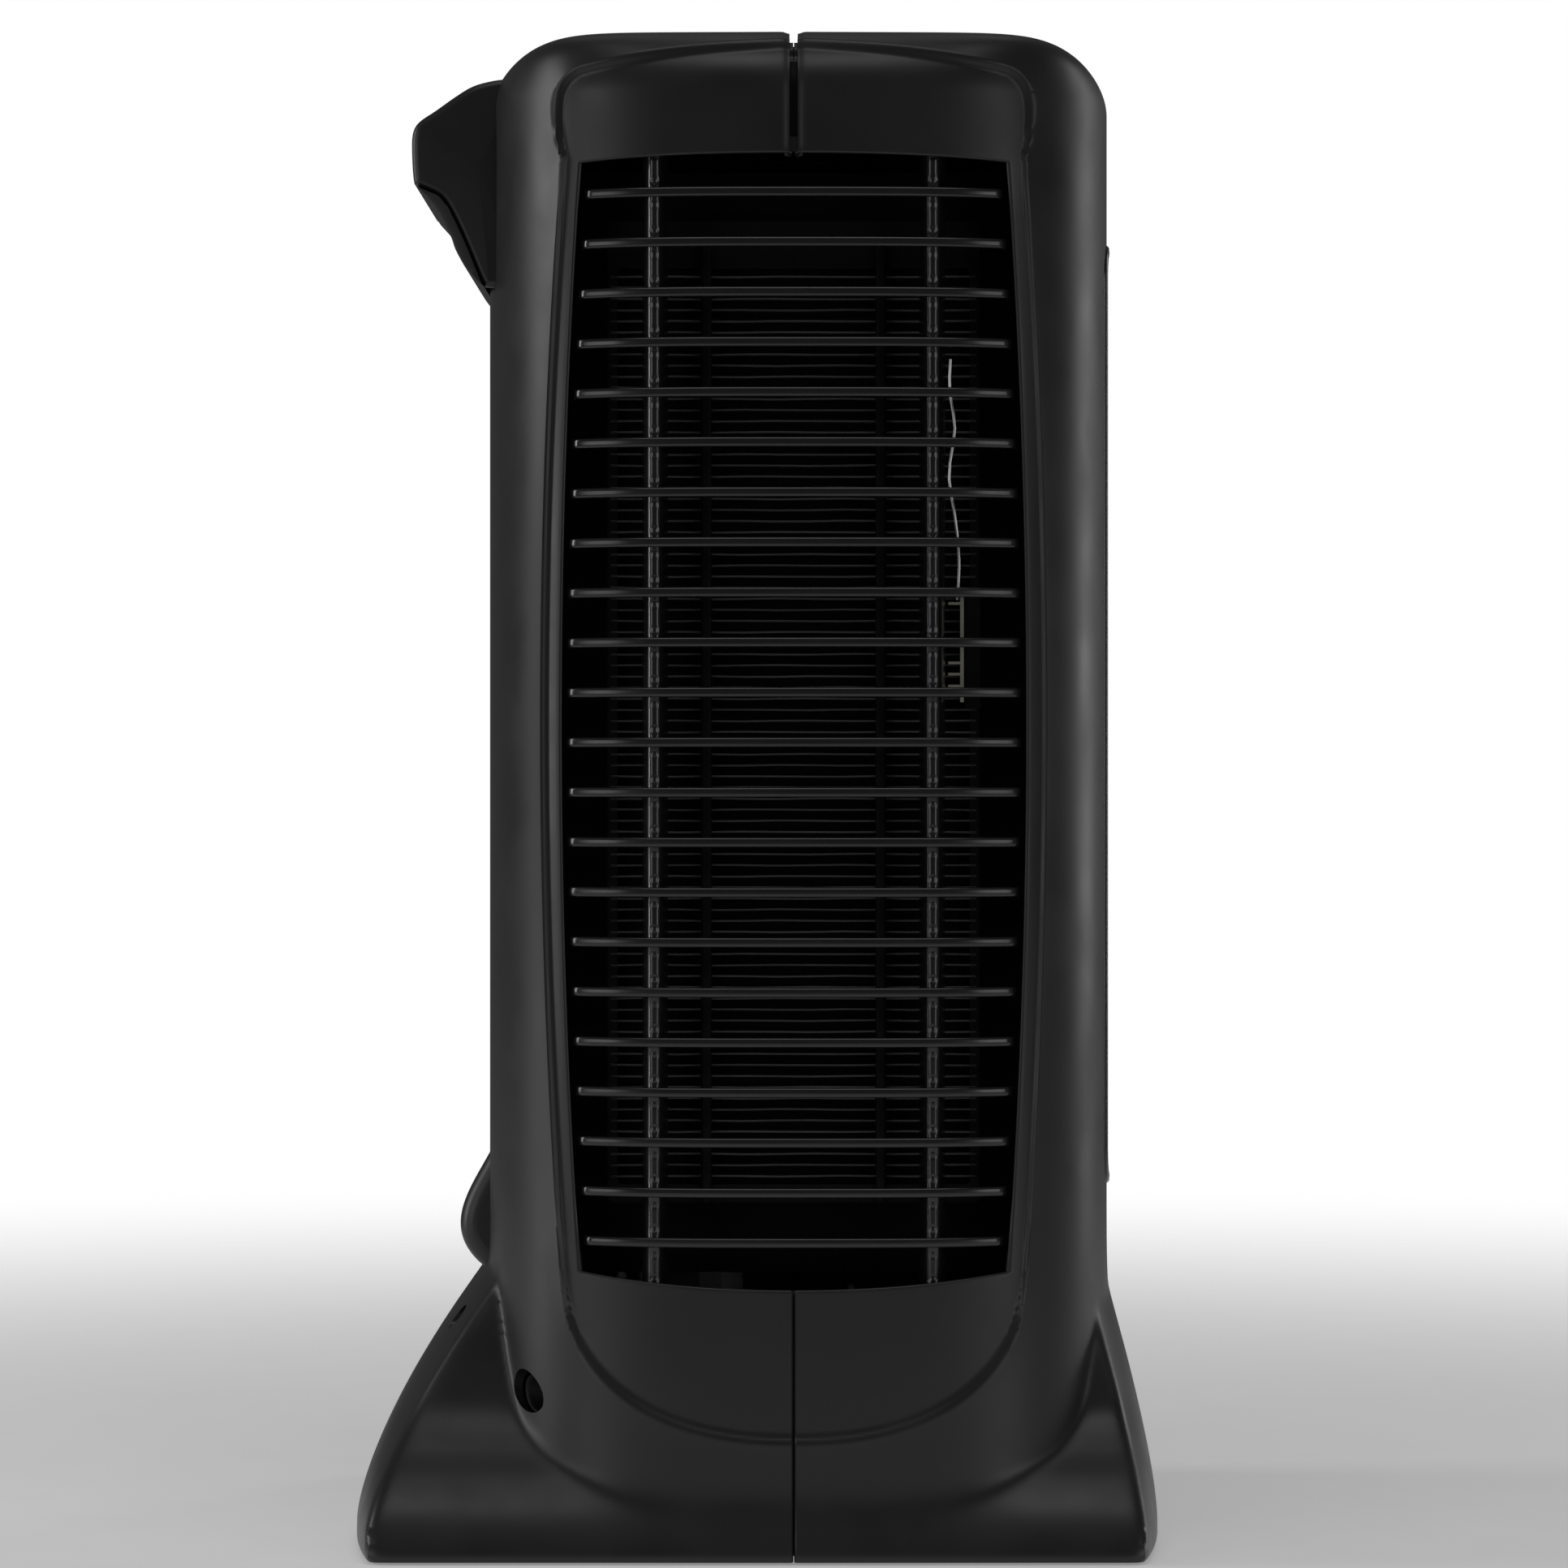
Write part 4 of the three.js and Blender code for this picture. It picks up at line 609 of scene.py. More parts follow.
def seam_tongue():
    """Lap strips behind the seam: one over the top between the openings and one below each opening.

    Each is a flat section carried along the shell's own outline at the seam, set in from it."""
    turn = np.linspace(0, math.pi / 2, 14)
    shrink = ROUND_OUT * (1 - np.cos(turn))
    rise = HEIGHT - ROUND_DOWN * (1 - np.sin(turn))
    edge_y = np.concatenate([[tower_side(SEAM)] * 4, tower_side(SEAM) - shrink])
    edge_z = np.concatenate([[OPEN_HIGH + 1.5, 427, 432, 437], rise])
    up = np.stack([-edge_y, edge_z], axis=-1)
    over = np.concatenate([up, up[::-1] * [-1, 1]])
    z = np.linspace(4.0, OPEN_LOW - 1.5, 40)
    low = np.stack([-np.maximum(tower_side(SEAM), base_half_width(z)), z], axis=-1)
    parts = []
    for line in (over, low, low * [-1, 1]):
        tangent = np.gradient(line, axis=0)
        tangent /= np.linalg.norm(tangent, axis=1, keepdims=True)
        inward = np.stack([tangent[:, 1], -tangent[:, 0]], axis=-1)
        inward *= np.sign(np.sum(inward * ([0, 150] - line), axis=1))[:, None]
        deep = 3.6 if line is over else 2.7
        rings = [np.insert(line + inward * inset, 0, x, axis=1)
                 for x, inset in ((SEAM - 2.5, deep), (SEAM + 2.5, deep),
                                  (SEAM + 2.5, deep + 2.5), (SEAM - 2.5, deep + 2.5))]
        parts.append(skin(np.stack(rings, axis=1)))
    return parts


def tower_reach(y):
    """Distance from the tower's middle to its front or back face at y, on the same superellipse."""
    return TOWER_DEPTH * (1 - (np.abs(y) / TOWER_WIDTH) ** TOWER_POWER) ** (1 / TOWER_POWER)


def cutter_object(parts):
    """A hidden closed object to subtract with."""
    return mesh_object("cutter", *merged(parts))


def make_shells(sizes, looks):
    """Front and rear shell halves, with the outlet, the cord hole and the screw wells cut through them."""
    front = shell_half("shell_front_skin", 1, sizes.wall * UNIT)
    outlet = rounded_rectangle(-OUTLET_HALF, OUTLET_HALF, OUTLET_LOW, OUTLET_HIGH, 8, 12)
    cut(front, [cutter_object([block_along(0, outlet, 60, 130, 0.01, 2)])])
    finish_piece(front, looks["satin"], ["front_shell"])
    rear = shell_half("shell_rear_skin", -1, sizes.wall * UNIT)
    wells = [bar_x(CORD_X - 7, TOWER_MID - 50, CORD_Y, CORD_Z, CORD_RADIUS, 56, CORD_SLOPE, CORD_X)]
    wells += [bar_x(-140, -30, side * WELL_Y, z, WELL_RADIUS, 32) for side in (-1, 1) for z in WELL_HEIGHTS]
    cut(rear, [cutter_object(wells)])
    finish_piece(rear, looks["satin"], ["rear_shell"])
    # The cord hole's bore faces take the near-black dark finish instead of the shell's: painted shade, as the
    # bore is shell plastic lying in shadow.
    rear.data.materials.append(looks["dark"])
    centre = np.zeros(3 * len(rear.data.polygons))
    rear.data.polygons.foreach_get("center", centre)
    centre = centre.reshape(-1, 3) / MM
    off_axis = np.hypot(centre[:, 1] - CORD_Y, centre[:, 2] - CORD_Z + CORD_SLOPE * (centre[:, 0] - CORD_X))
    shaded_bore = (off_axis < CORD_RADIUS + 0.05) & (centre[:, 0] < CORD_X + 30)
    rear.data.polygons.foreach_set("material_index", shaded_bore.astype(np.int32))
    # The lap strips take the near-black dark finish, darker than the shell they belong with: painted shade at
    # the bottom of the seam's groove.
    tongue = mesh_object("seam_lap", *merged(seam_tongue()))
    finish_piece(tongue, looks["dark"])


# ---- Side grilles --------------------------------------------------------------------------------
def louvre(z, side, thickness, depth):
    """One bowed blade: a blunt nose on the tower's curve, thinner towards the back, with rounded ends."""
    half = float(open_half(z)) - 2.6
    near = np.array([0, .08, .25, .5, .9, 1.4, 2.0, 2.6, 4.0])
    x = np.concatenate([-half + near, np.linspace(-half + 6.5, half - 6.5, 41), half - near[::-1]])
    from_end = half - np.abs(x)
    back_off = np.where(from_end < 2.4, 2.4 - np.sqrt(np.maximum(2.4 ** 2 - (2.4 - from_end) ** 2, 0)), 0)
    turn = np.linspace(-math.pi / 2, math.pi / 2, 15)
    nose_in = 1.25 * (1 - np.abs(np.cos(turn)) ** 0.7)
    nose_up = thickness / 2 * np.sign(turn) * np.abs(np.sin(turn)) ** 0.75
    inward = np.concatenate([[depth], nose_in, [depth, depth + 0.3]])
    height = np.concatenate([[-0.75], nose_up, [0.75, 0]])
    y = tower_side(SEAM + x, 2.2) - back_off
    rings = np.stack([np.repeat((SEAM + x)[:, None], len(inward), axis=1),
                      side * (y[:, None] - inward[None, :]),
                      np.repeat((z + height)[None, :], len(x), axis=0)], axis=-1)
    return skin(rings)


def opening_loop(grow):
    """The side opening's outline (from the seam, height), grown outward by a margin."""
    u = np.linspace(-1, 1, 26)
    low_half = float(open_half(OPEN_LOW + SAG_LOW)) + grow
    high_half = float(open_half(OPEN_HIGH - SAG_HIGH)) + grow
    low = np.stack([low_half * u, OPEN_LOW + SAG_LOW * u * u - grow], axis=-1)
    high = np.stack([high_half * -u, OPEN_HIGH - SAG_HIGH * u * u + grow], axis=-1)
    z = np.linspace(OPEN_LOW + SAG_LOW - grow, OPEN_HIGH - SAG_HIGH + grow, 50)[1:-1]
    right = np.stack([open_half(z) + grow, z], axis=-1)
    return np.concatenate([low, right, high, right[::-1] * [-1, 1]])


def grille_ring(side):
    """Frame behind the shell wall: the opening's outline grown by two margins at two depths."""
    sections = [(0.5, 2.9), (5.0, 2.9), (5.0, 5.3), (0.5, 5.3)]
    rings = []
    for grow, inset in sections:
        loop = opening_loop(grow)
        x = SEAM + loop[:, 0]
        rings.append(np.stack([x, side * tower_side(x, inset), loop[:, 1]], axis=-1))
    return ring_skin(np.stack(rings, axis=1))


def grille_rib(x, side, pitch):
    """Upright rib behind the blades: a rounded face that swells forward to each blade, with ejector marks.

    The face falls back as 1.6 |s|^2.4 across its width and as 0.5 (1 - (1 - d)^3) with the distance d from the
    nearest blade; each mark is a shallow disc."""
    z = np.arange(OPEN_LOW - 1, OPEN_HIGH + 2, 0.45)
    across = np.linspace(-2.2, 2.2, 15)
    offset = (z - LOUVRE_FIRST + pitch / 2) % pitch - pitch / 2
    swell = 0.5 * (1 - (1 - np.abs(offset) / (pitch / 2)) ** 3)
    front = swell[:, None] + 1.6 * (np.abs(across) / 2.2)[None, :] ** 2.4
    for place, depth in ((3.7, 0.26), (-3.7, 0.16)):
        reach = np.hypot(across[None, :], (offset - place)[:, None])
        front = front + depth * np.exp(-((reach - 1.0) / 0.22) ** 2)
    base = tower_side(x, 4.4)
    inward = np.concatenate([front, np.repeat([[4.0, 9.0, 9.0, 4.0]], len(z), axis=0)], axis=1)
    sideways = np.concatenate([across, [2.9, 3.9, -3.9, -2.9]])
    rings = np.stack([np.repeat((x + sideways)[None, :], len(z), axis=0), side * (base - inward),
                      np.repeat(z[:, None], len(sideways), axis=1)], axis=-1)
    return skin(rings)


def make_side_grilles(sizes, looks):
    """Both louvred side grilles, each one moulding of blades, two ribs and a frame."""
    pitch = (LOUVRE_LAST - LOUVRE_FIRST) / (LOUVRES - 1)
    for side, hand in ((-1, "right"), (1, "left")):
        parts = [louvre(LOUVRE_FIRST + pitch * i, side, sizes.louvre_height * UNIT, 9.0)
                 for i in range(LOUVRES)]
        parts += [grille_rib(SEAM + end * RIB_OFFSET, side, pitch) for end in (-1, 1)]
        parts.append(grille_ring(side))
        thing = mesh_object(f"grille_{hand}", *merged(parts), sharp=50)
        finish_piece(thing, looks["grille"], [f"side_grille_{hand}"])


# ---- Finned guards -------------------------------------------------------------------------------
def guard_fin(x0, x1, y0, y1, z, thickness, phase):
    """One thin fin: a flat strip whose height wavers by a small sine along its length."""
    x = np.linspace(x0, x1, 12)
    waver = 0.10 * np.sin(phase + 5 * math.pi * (x - x0) / (x1 - x0)) + 0.05 * np.sin(2.3 * phase + 0.21 * x)
    half = thickness / 2
    section = np.array([(y0, -half), (y1 - 0.3, -half), (y1, 0), (y1 - 0.3, half), (y0, half)])
    rings = np.stack([np.repeat(x[:, None], 5, axis=1), np.repeat(section[None, :, 0], 12, axis=0),
                      z + waver[:, None] + section[None, :, 1]], axis=-1)
    return skin(rings)


def make_guards(sizes, looks):
    """Finned guards and their upright bars behind both grilles."""
    random = np.random.default_rng(7)
    for side, hand in ((-1, "right"), (1, "left")):
        node = f"inlet_guard_{hand}"
        x0, x1 = span(node, 0)
        z0, z1 = span(node, 2)
        inner, outer = sorted(np.abs(span(node, 1)))
        frame_out = rounded_rectangle(x0, x1, z0, z1, 2.0, 5)
        frame_in = rounded_rectangle(x0 + 3, x1 - 3, z0 + 5.5, z1 - 14.5, 1.5, 5)
        rings = np.stack([np.insert(frame_out, 1, side * inner, axis=1),
                          np.insert(frame_out, 1, side * outer, axis=1),
                          np.insert(frame_in, 1, side * outer, axis=1),
                          np.insert(frame_in, 1, side * inner, axis=1)],
                         axis=1)
        parts = [ring_skin(rings)]
        heights = np.linspace(z0 + 8, z1 - 17, sizes.fins)
        for z in heights:
            parts.append(guard_fin(x0 + 1, x1 - 1, side * (inner + 0.1), side * (outer - 0.1), z,
                                   sizes.fin_thickness * UNIT, random.uniform(0, 2 * math.pi)))
        thing = mesh_object(f"finned_guard_{hand}", *merged(parts), sharp=30)
        finish_piece(thing, looks["fins"], [node])
        thing.data.materials.append(looks["dark"])
        plain = np.zeros(len(thing.data.polygons), np.int32)
        plain[:sum(len(block) for block in parts[0][1])] = 1
        thing.data.polygons.foreach_set("material_index", plain)
        for end in ("rear", "front"):
            bar = f"guard_bar_{hand}_{end}"
            bx0, bx1 = span(bar, 0)
            by0, by1 = span(bar, 1)
            bz0, bz1 = span(bar, 2)
            section = rounded_rectangle(bx0, bx1, by0, by1, 0.9, 5)
            thing = mesh_object(f"upright_{hand}_{end}", *block_along(2, section, bz0, bz1, 0.4, 4))
            finish_piece(thing, looks["dark"], [bar])


# ---- Handle and cowl -----------------------------------------------------------------------------
def handle_line(pairs):
    """(reach behind the tower's back, drop below the handle's top) pairs as (x, z)."""
    pairs = np.asarray(pairs, float)
    return np.stack([TOWER_BACK + 3.6 - pairs[:, 0], HEIGHT - 9.6 - pairs[:, 1]], axis=-1)


def make_handle(looks):
    """Hollow carrying hood on the back, and the softer grip strip with the finger slot under it."""
    half = 57.98
    hood = flowing(handle_line([
        (-7, 1.2), (-6.6, 0.4), (-5.8, 0.2), (0, 0.6), (6.7, 2.3), (12.1, 5.4), (18.6, 10.0),
        (23.8, 13.6), (25.7, 17.2), (25.9, 23.5), (25.4, 31.2), (24.4, 33.0), (17.6, 36.3), (13.6, 42.1),
        (8.9, 52.3), (4.3, 63.1), (2.5, 64.5), (0, 64.6), (-5.8, 64.6), (-6.6, 64.4), (-7, 63.6),
        (-7, 40), (-7, 20)]), 5)
    pocket = flowing(handle_line([
        (-20, 5), (-18, 3.7), (5, 5.4), (11, 8.8), (17, 13.6), (21.5, 17.4), (22.2, 24), (21.6, 29.8),
        (14.2, 34), (9.6, 43), (5, 54), (4, 62), (3.6, 78), (2, 80), (-18, 80), (-20, 78)]), 4)
    slot = handle_line(rounded_rectangle(4, 44, 36.5, 57, 2.5, 6))
    middle = handle_line([(5, 28)])[0]
    thing = mesh_object("handle_hood", *crowned_block(spaced(hood, 150), -half, half, 2.4, 0.9, middle))
    cut(thing, [cutter_object([block_along(1, spaced(pocket, 90), -half + 3.4, half - 3.4, 1.0, 4)])])
    cut(thing, [cutter_object([block_along(1, slot, -45.5, 45.5, 2.0, 5)])])
    finish_piece(thing, looks["satin"], ["carry_handle"])
    outer = flowing(handle_line([
        (24.3, 33.5), (20.6, 37.6), (18.3, 40.5), (16.6, 43.5), (15.1, 46.5), (13.6, 49.5), (12.6, 52.5),
        (11.1, 55.5), (9.4, 58.4), (6.9, 61.5), (3.6, 64.5)]), 5, closed=False)
    inner = flowing(handle_line([
        (24.0, 33.7), (20.6, 35.2), (17.1, 37.0), (13.3, 42.7), (8.7, 52.7), (4.4, 63.3),
        (3.5, 64.3)]), 5, closed=False)
    thing = mesh_object("grip_strip", *lens_strip(outer, inner, half - 0.4))
    cut(thing, [cutter_object([block_along(1, slot, -45.5, 45.5, 2.0, 5)])])
    finish_piece(thing, looks["grip"], ["handle_grip"])


def make_cowl(looks):
    """Rounded cowl low on the back: its outline swells as sin(pi t^0.72)^1.1 over its height."""
    t = np.linspace(0, 1, 40)
    bulge = np.clip(np.sin(math.pi * t ** 0.72), 0, 1) ** 1.1
    outer = np.stack([TOWER_BACK + 1.4 - 10.4 * bulge, 80 + 40 * t], axis=-1)
    loop = np.concatenate([outer, [[TOWER_BACK + 9, 120], [TOWER_BACK + 9, 80]]])
    thing = mesh_object("cowl_cover", *block_along(1, loop, -33, 33, 5.5, 9))
    finish_piece(thing, looks["satin"], ["rear_cowl"])


# ---- Front outlet and heating core ---------------------------------------------------------------
def make_outlet(looks):
    """Outlet grille: a lipped frame that follows the front face, curved slats, two uprights behind them."""
    sections = [(3.4, -0.4), (3.3, 0.3), (2.7, 0.8), (1.0, 0.95), (-0.2, 0.8), (-0.9, 0.1), (-1.2, -1.5),
                (-1.2, -7.0), (-0.3, -7.0), (-0.3, -0.4)]
    rings = []
    for grow, proud in sections:
        loop = rounded_rectangle(-OUTLET_HALF - grow, OUTLET_HALF + grow,
                                 OUTLET_LOW - grow, OUTLET_HIGH + grow, 8 + grow, 12)
        rings.append(np.insert(loop, 0, TOWER_MID + tower_reach(loop[:, 0]) + proud, axis=1))
    parts = [ring_skin(np.stack(rings, axis=1))]
    y = np.linspace(-OUTLET_HALF + 0.8, OUTLET_HALF - 0.8, 41)
    turn = np.linspace(0, 2 * math.pi, 20, endpoint=False)
    depth = 4.2 * np.sign(np.cos(turn)) * np.abs(np.cos(turn)) ** 0.8
    lift = 1.15 * np.sign(np.sin(turn)) * np.abs(np.sin(turn)) ** 0.8
    for i in range(1, SLATS + 1):
        z = OUTLET_LOW + (OUTLET_HIGH - OUTLET_LOW) * i / (SLATS + 1)
        face = TOWER_MID + tower_reach(y) - 5.2
        rings = np.stack([face[:, None] + depth, np.repeat(y[:, None], 20, axis=1),
                          np.repeat((z + lift - 0.12 * depth)[None, :], 41, axis=0)], axis=-1)
        parts.append(skin(rings))
    for side in (-1, 1):
        post = rounded_rectangle(99.0, 102.2, side * 15.7 - 1.6, side * 15.7 + 1.6, 0.8, 4)
        parts.append(block_along(2, post, OUTLET_LOW - 2, OUTLET_HIGH + 2, 0.3, 3))
    thing = mesh_object("front_grille", *merged(parts), sharp=45)
    finish_piece(thing, looks["grille"], ["outlet_grille"])


def make_core(looks):
    """Folded aluminium packs of the heating core: a rounded zigzag carried from back to front."""
    for number in (1, 2, 3):
        node = f"fin_pack_{number}"
        x0, x1 = span(node, 0)
        y0, y1 = span(node, 1)
        z0, z1 = span(node, 2)
        folds = 150
        t = np.linspace(0, 1, folds * 8 + 1)
        wave = np.arcsin(0.985 * np.sin(math.pi * folds * t)) / math.asin(0.985)
        y = (y0 + y1) / 2 + (y1 - y0 - 0.6) / 2 * wave
        z = z0 + 0.6 + (z1 - z0 - 1.2) * t
        x = np.array([x0 + 0.3, x1 - 0.3])
        points = np.stack([np.repeat(x[None, :], len(t), axis=0), np.repeat(y[:, None], 2, axis=1),
                           np.repeat(z[:, None], 2, axis=1)], axis=-1).reshape(-1, 3)
        thing = mesh_object(f"folded_fins_{number}", points, [grid_faces(len(t), 2)])
        sheet = thing.modifiers.new("sheet", "SOLIDIFY")
        sheet.thickness = 0.25 * MM
        sheet.offset = 0
        settle(thing, 60)
        finish_piece(thing, looks["aluminium"], [node])


# ---- Top panel -----------------------------------------------------------------------------------
BUTTONS = ("cooler", "timer", "power", "mode", "warmer")


def make_panel(looks):
    """Gloss control panel with its display window and five round buttons with dished tops."""
    top = HEIGHT - 0.9
    plate = rounded_rectangle(PANEL[0], PANEL[1], PANEL[2], PANEL[3], 9, 12)
    wide = rounded_rectangle(PANEL[0] - 2.5, PANEL[1] + 2.5, PANEL[2] - 2.5, PANEL[3] + 2.5, 11.5, 12)
    low = HEIGHT - 4.9
    ring = np.stack([np.insert(loop, 2, z, axis=1) for loop, z in (
        (wide, low), (wide, low + 2), (plate, low + 2.001), (plate, top - 0.5),
        (inset_loop(plate, 0.16), top - 0.15),
        (inset_loop(plate, 0.5), top))])
    thing = mesh_object("top_panel", *skin(ring), sharp=30)
    holes = []
    for name in BUTTONS:
        x = sum(span(f"{name}_button", 0)) / 2
        y = sum(span(f"{name}_button", 1)) / 2
        holes.append(turned([(0.01, low - 1), (5.3, low - 1), (5.3, top - 0.25), (5.6, top + 0.05),
                             (5.6, top + 1), (0.01, top + 1)], x, y, 48))
    wx0, wx1 = span("display_window", 0)
    wy0, wy1 = span("display_window", 1)
    pocket = rounded_rectangle(wx0 - 0.25, wx1 + 0.25, wy0 - 0.25, wy1 + 0.25, 2.2, 8)
    holes.append(block_along(2, pocket, top - 2.3, top + 1, 0.01, 2))
    cut(thing, [cutter_object(holes)], 30)
    finish_piece(thing, looks["gloss"], ["control_panel"])
    glass = rounded_rectangle(wx0, wx1, wy0, wy1, 2.0, 8)
    thing = mesh_object("display_glass", *block_along(2, glass, top - 2.2, top - 0.05, 0.35, 5))
    finish_piece(thing, looks["glass"], ["display_window"])
    for name in BUTTONS:
        node = f"{name}_button"
        x, y = sum(span(node, 0)) / 2, sum(span(node, 1)) / 2
        z0, z1 = span(node, 2)
        body = [(0.02, z0), (6.3, z0), (6.3, z0 + 1.3), (5.0, z0 + 1.3), (5.0, z1 - 0.9)]
        turn = np.linspace(0, math.pi / 2, 6)
        body += [(4.3 + 0.7 * math.cos(a), z1 - 0.7 + 0.7 * math.sin(a)) for a in turn]
        body += [(r, z1 - 0.45 * (1 - (r / 4.0) ** 2)) for r in (3.8, 3.2, 2.4, 1.6, 0.8, 0.02)]
        thing = mesh_object(f"{name}_cap", *turned(body, x, y, 56), sharp=50)
        finish_piece(thing, looks["grip"], [node], f"{name}_key")


# ---- Base fittings -------------------------------------------------------------------------------
def make_base_fittings(looks):
    """Rubber feet with a ringed tread, the tip-over plunger and the cord bush."""
    for node in ("foot_front_left", "foot_front_right", "foot_rear_left", "foot_rear_right"):
        x, y = sum(span(node, 0)) / 2, sum(span(node, 1)) / 2
        z1 = span(node, 2)[1]
        profile = [(0.02, 0.4), (3.2, 0.4), (3.5, 0), (4.4, 0), (4.7, 0.4), (5.9, 0.4), (6.2, 0),
                   (7.8, 0), (8.5, 0.3), (8.9, 0.9), (9.0, 1.5), (9.0, 2.7), (3.0, 2.7), (3.0, 5.8),
                   (4.4, 5.8), (2.4, z1), (0.02, z1)]
        thing = mesh_object(node.replace("foot", "pad_foot"), *turned(profile, x, y, 48))
        finish_piece(thing, looks["rubber"], [node])
    x, y = sum(span("tip_plunger", 0)) / 2, sum(span("tip_plunger", 1)) / 2
    top = span("tip_plunger", 2)[1]
    profile = [(0.02, 0), (2.6, 0), (3.5, 0.3), (3.9, 0.9), (4.0, 1.6), (4.0, top - 0.5),
               (3.5, top), (0.02, top)]
    thing = mesh_object("plunger_pin", *turned(profile, x, y, 40))
    finish_piece(thing, looks["grip"], ["tip_plunger"], "tip_plunger_body")
    turn = np.linspace(0, 2 * math.pi, 56, endpoint=False)
    inner_end = span("cord_bush", 0)[1]
    rings = []
    for radius, sink in ((4.6, 60), (4.6, 3.6), (4.9, 3.1), (5.5, 2.9), (6.0, 3.4), (6.0, 60)):
        y = CORD_Y + radius * np.cos(turn)
        z = CORD_Z + radius * np.sin(turn)
        surface = TOWER_MID - tower_reach(y)
        x = np.minimum(surface + sink, inner_end)
        rings.append(np.stack([x, y, z - CORD_SLOPE * (x - CORD_X)], axis=-1))
    thing = mesh_object("cord_grommet", *ring_skin(np.stack(rings, axis=1)))
    finish_piece(thing, looks["dark"], ["cord_bush"])


# ---- Materials -----------------------------------------------------------------------------------
def material(name, colour, roughness, metallic=0.0, grain=0.0004, relief=0.00001, variation=0.12,
             rough_span=0.06, coat=0.0, specular=0.5):
    """Moulded or metal finish.

    Fine noise of the grain's size makes the relief; broad noise shifts the colour a little and the roughness
    by rough_span, as handling and moulding flow do."""
    made = bpy.data.materials.new(name)
    made.use_nodes = True
    nodes, links = made.node_tree.nodes, made.node_tree.links
    shader = nodes["Principled BSDF"]
    shader.inputs["Metallic"].default_value = metallic
    shader.inputs["Coat Weight"].default_value = coat
    shader.inputs["Specular IOR Level"].default_value = specular
    place = nodes.new("ShaderNodeTexCoord")
    broad = nodes.new("ShaderNodeTexNoise")
    broad.inputs["Scale"].default_value = 38
    broad.inputs["Detail"].default_value = 5
    links.new(place.outputs["Object"], broad.inputs["Vector"])
    tint = nodes.new("ShaderNodeMix")
    tint.data_type = "RGBA"
    tint.inputs["A"].default_value = (*[c * (1 - variation) for c in colour], 1)
    tint.inputs["B"].default_value = (*[c * (1 + variation) for c in colour], 1)
    links.new(broad.outputs["Fac"], tint.inputs["Factor"])
    links.new(tint.outputs["Result"], shader.inputs["Base Color"])
    dull = nodes.new("ShaderNodeMapRange")
    dull.inputs["From Min"].default_value = 0.3
    dull.inputs["From Max"].default_value = 0.7
    dull.inputs["To Min"].default_value = roughness - rough_span
    dull.inputs["To Max"].default_value = roughness + rough_span
    links.new(broad.outputs["Fac"], dull.inputs["Value"])
    links.new(dull.outputs["Result"], shader.inputs["Roughness"])
    fine = nodes.new("ShaderNodeTexNoise")
    fine.inputs["Scale"].default_value = 1 / grain
    fine.inputs["Detail"].default_value = 3
    links.new(place.outputs["Object"], fine.inputs["Vector"])
    bump = nodes.new("ShaderNodeBump")
    bump.inputs["Strength"].default_value = 0.6
    bump.inputs["Distance"].default_value = relief
    links.new(fine.outputs["Fac"], bump.inputs["Height"])
    links.new(bump.outputs["Normal"], shader.inputs["Normal"])
    return made


def make_looks(colours):
    """Every finish used on the heater."""
    return {
        "satin": material("satin_shell", colours.shell, 0.40, grain=0.00045, relief=0.000012),
        "grille": material("satin_grille", colours.grille, 0.23, grain=0.0005, relief=0.000004, specular=0.6),
        # The guard fins are blackened; the lighter grey of this finish is painted highlight, standing in for
        # the bright lines that the fins catch.
        "fins": material("guard_fins_painted_highlight", colours.fins, 0.34, metallic=0.5, grain=0.0008, relief=0.00001,
                         variation=0.3),
        # Dark moulding of the real dark parts; on the cord hole's bore and on the seam lap strips it is also
        # painted shade.
        "dark": material("dark_moulding_and_painted_shade", (0.004, 0.004, 0.004), 0.6, grain=0.0005, relief=0.00001,
                         specular=0.15),
        "grip": material("soft_grip", colours.grip, 0.55, grain=0.0003, relief=0.00002),
        "gloss": material("gloss_panel", (0.006, 0.006, 0.0065), 0.12, grain=0.002, relief=0.000002, coat=0.4),
        "glass": material("display_lens", (0.003, 0.003, 0.004), 0.07, grain=0.003, relief=0.000001, coat=1.0),
        "rubber": material("rubber", (0.010, 0.010, 0.010), 0.75, grain=0.0004, relief=0.00003),
        "foam": material("filter_foam", (0.004, 0.004, 0.004), 0.95, grain=0.0012, relief=0.0004,
                         specular=0.1),
        "ceramic": material("ceramic", (0.68, 0.64, 0.55), 0.6, grain=0.0006, relief=0.00002),
        "aluminium": material("folded_aluminium", (0.60, 0.61, 0.62), 0.34, metallic=1, grain=0.0007,
                              relief=0.00001),
        "brass": material("pale_contact", (0.74, 0.70, 0.58), 0.3, metallic=1, grain=0.0006, relief=0.000006),
        "steel": material("zinc_steel", (0.55, 0.56, 0.58), 0.32, metallic=1, grain=0.0006, relief=0.000008),
        "fibre": material("circuit_board", (0.02, 0.09, 0.04), 0.5, grain=0.0009, relief=0.00002),
    }


SLOT_LOOKS = {
    "satin_black": "satin", "grille_black": "grille", "guard_black": "fins", "grip_black": "grip",
    "gloss_black": "gloss", "dark_plastic": "dark", "circuit_board": "fibre", "filter_black": "foam",
    "rubber_black": "rubber", "ceramic_white": "ceramic", "aluminium_part": "aluminium", "brass_part": "brass",
    "zinc_steel": "steel",
}


def dress_frame(looks):
    """Gives every frame node the finish of its record slot."""
    for part in frame["record"]["subparts"]:
        mesh = frame["nodes"][part["node"]].data
        mesh.materials.clear()
        mesh.materials.append(looks[SLOT_LOOKS[part["material_slot"]]])


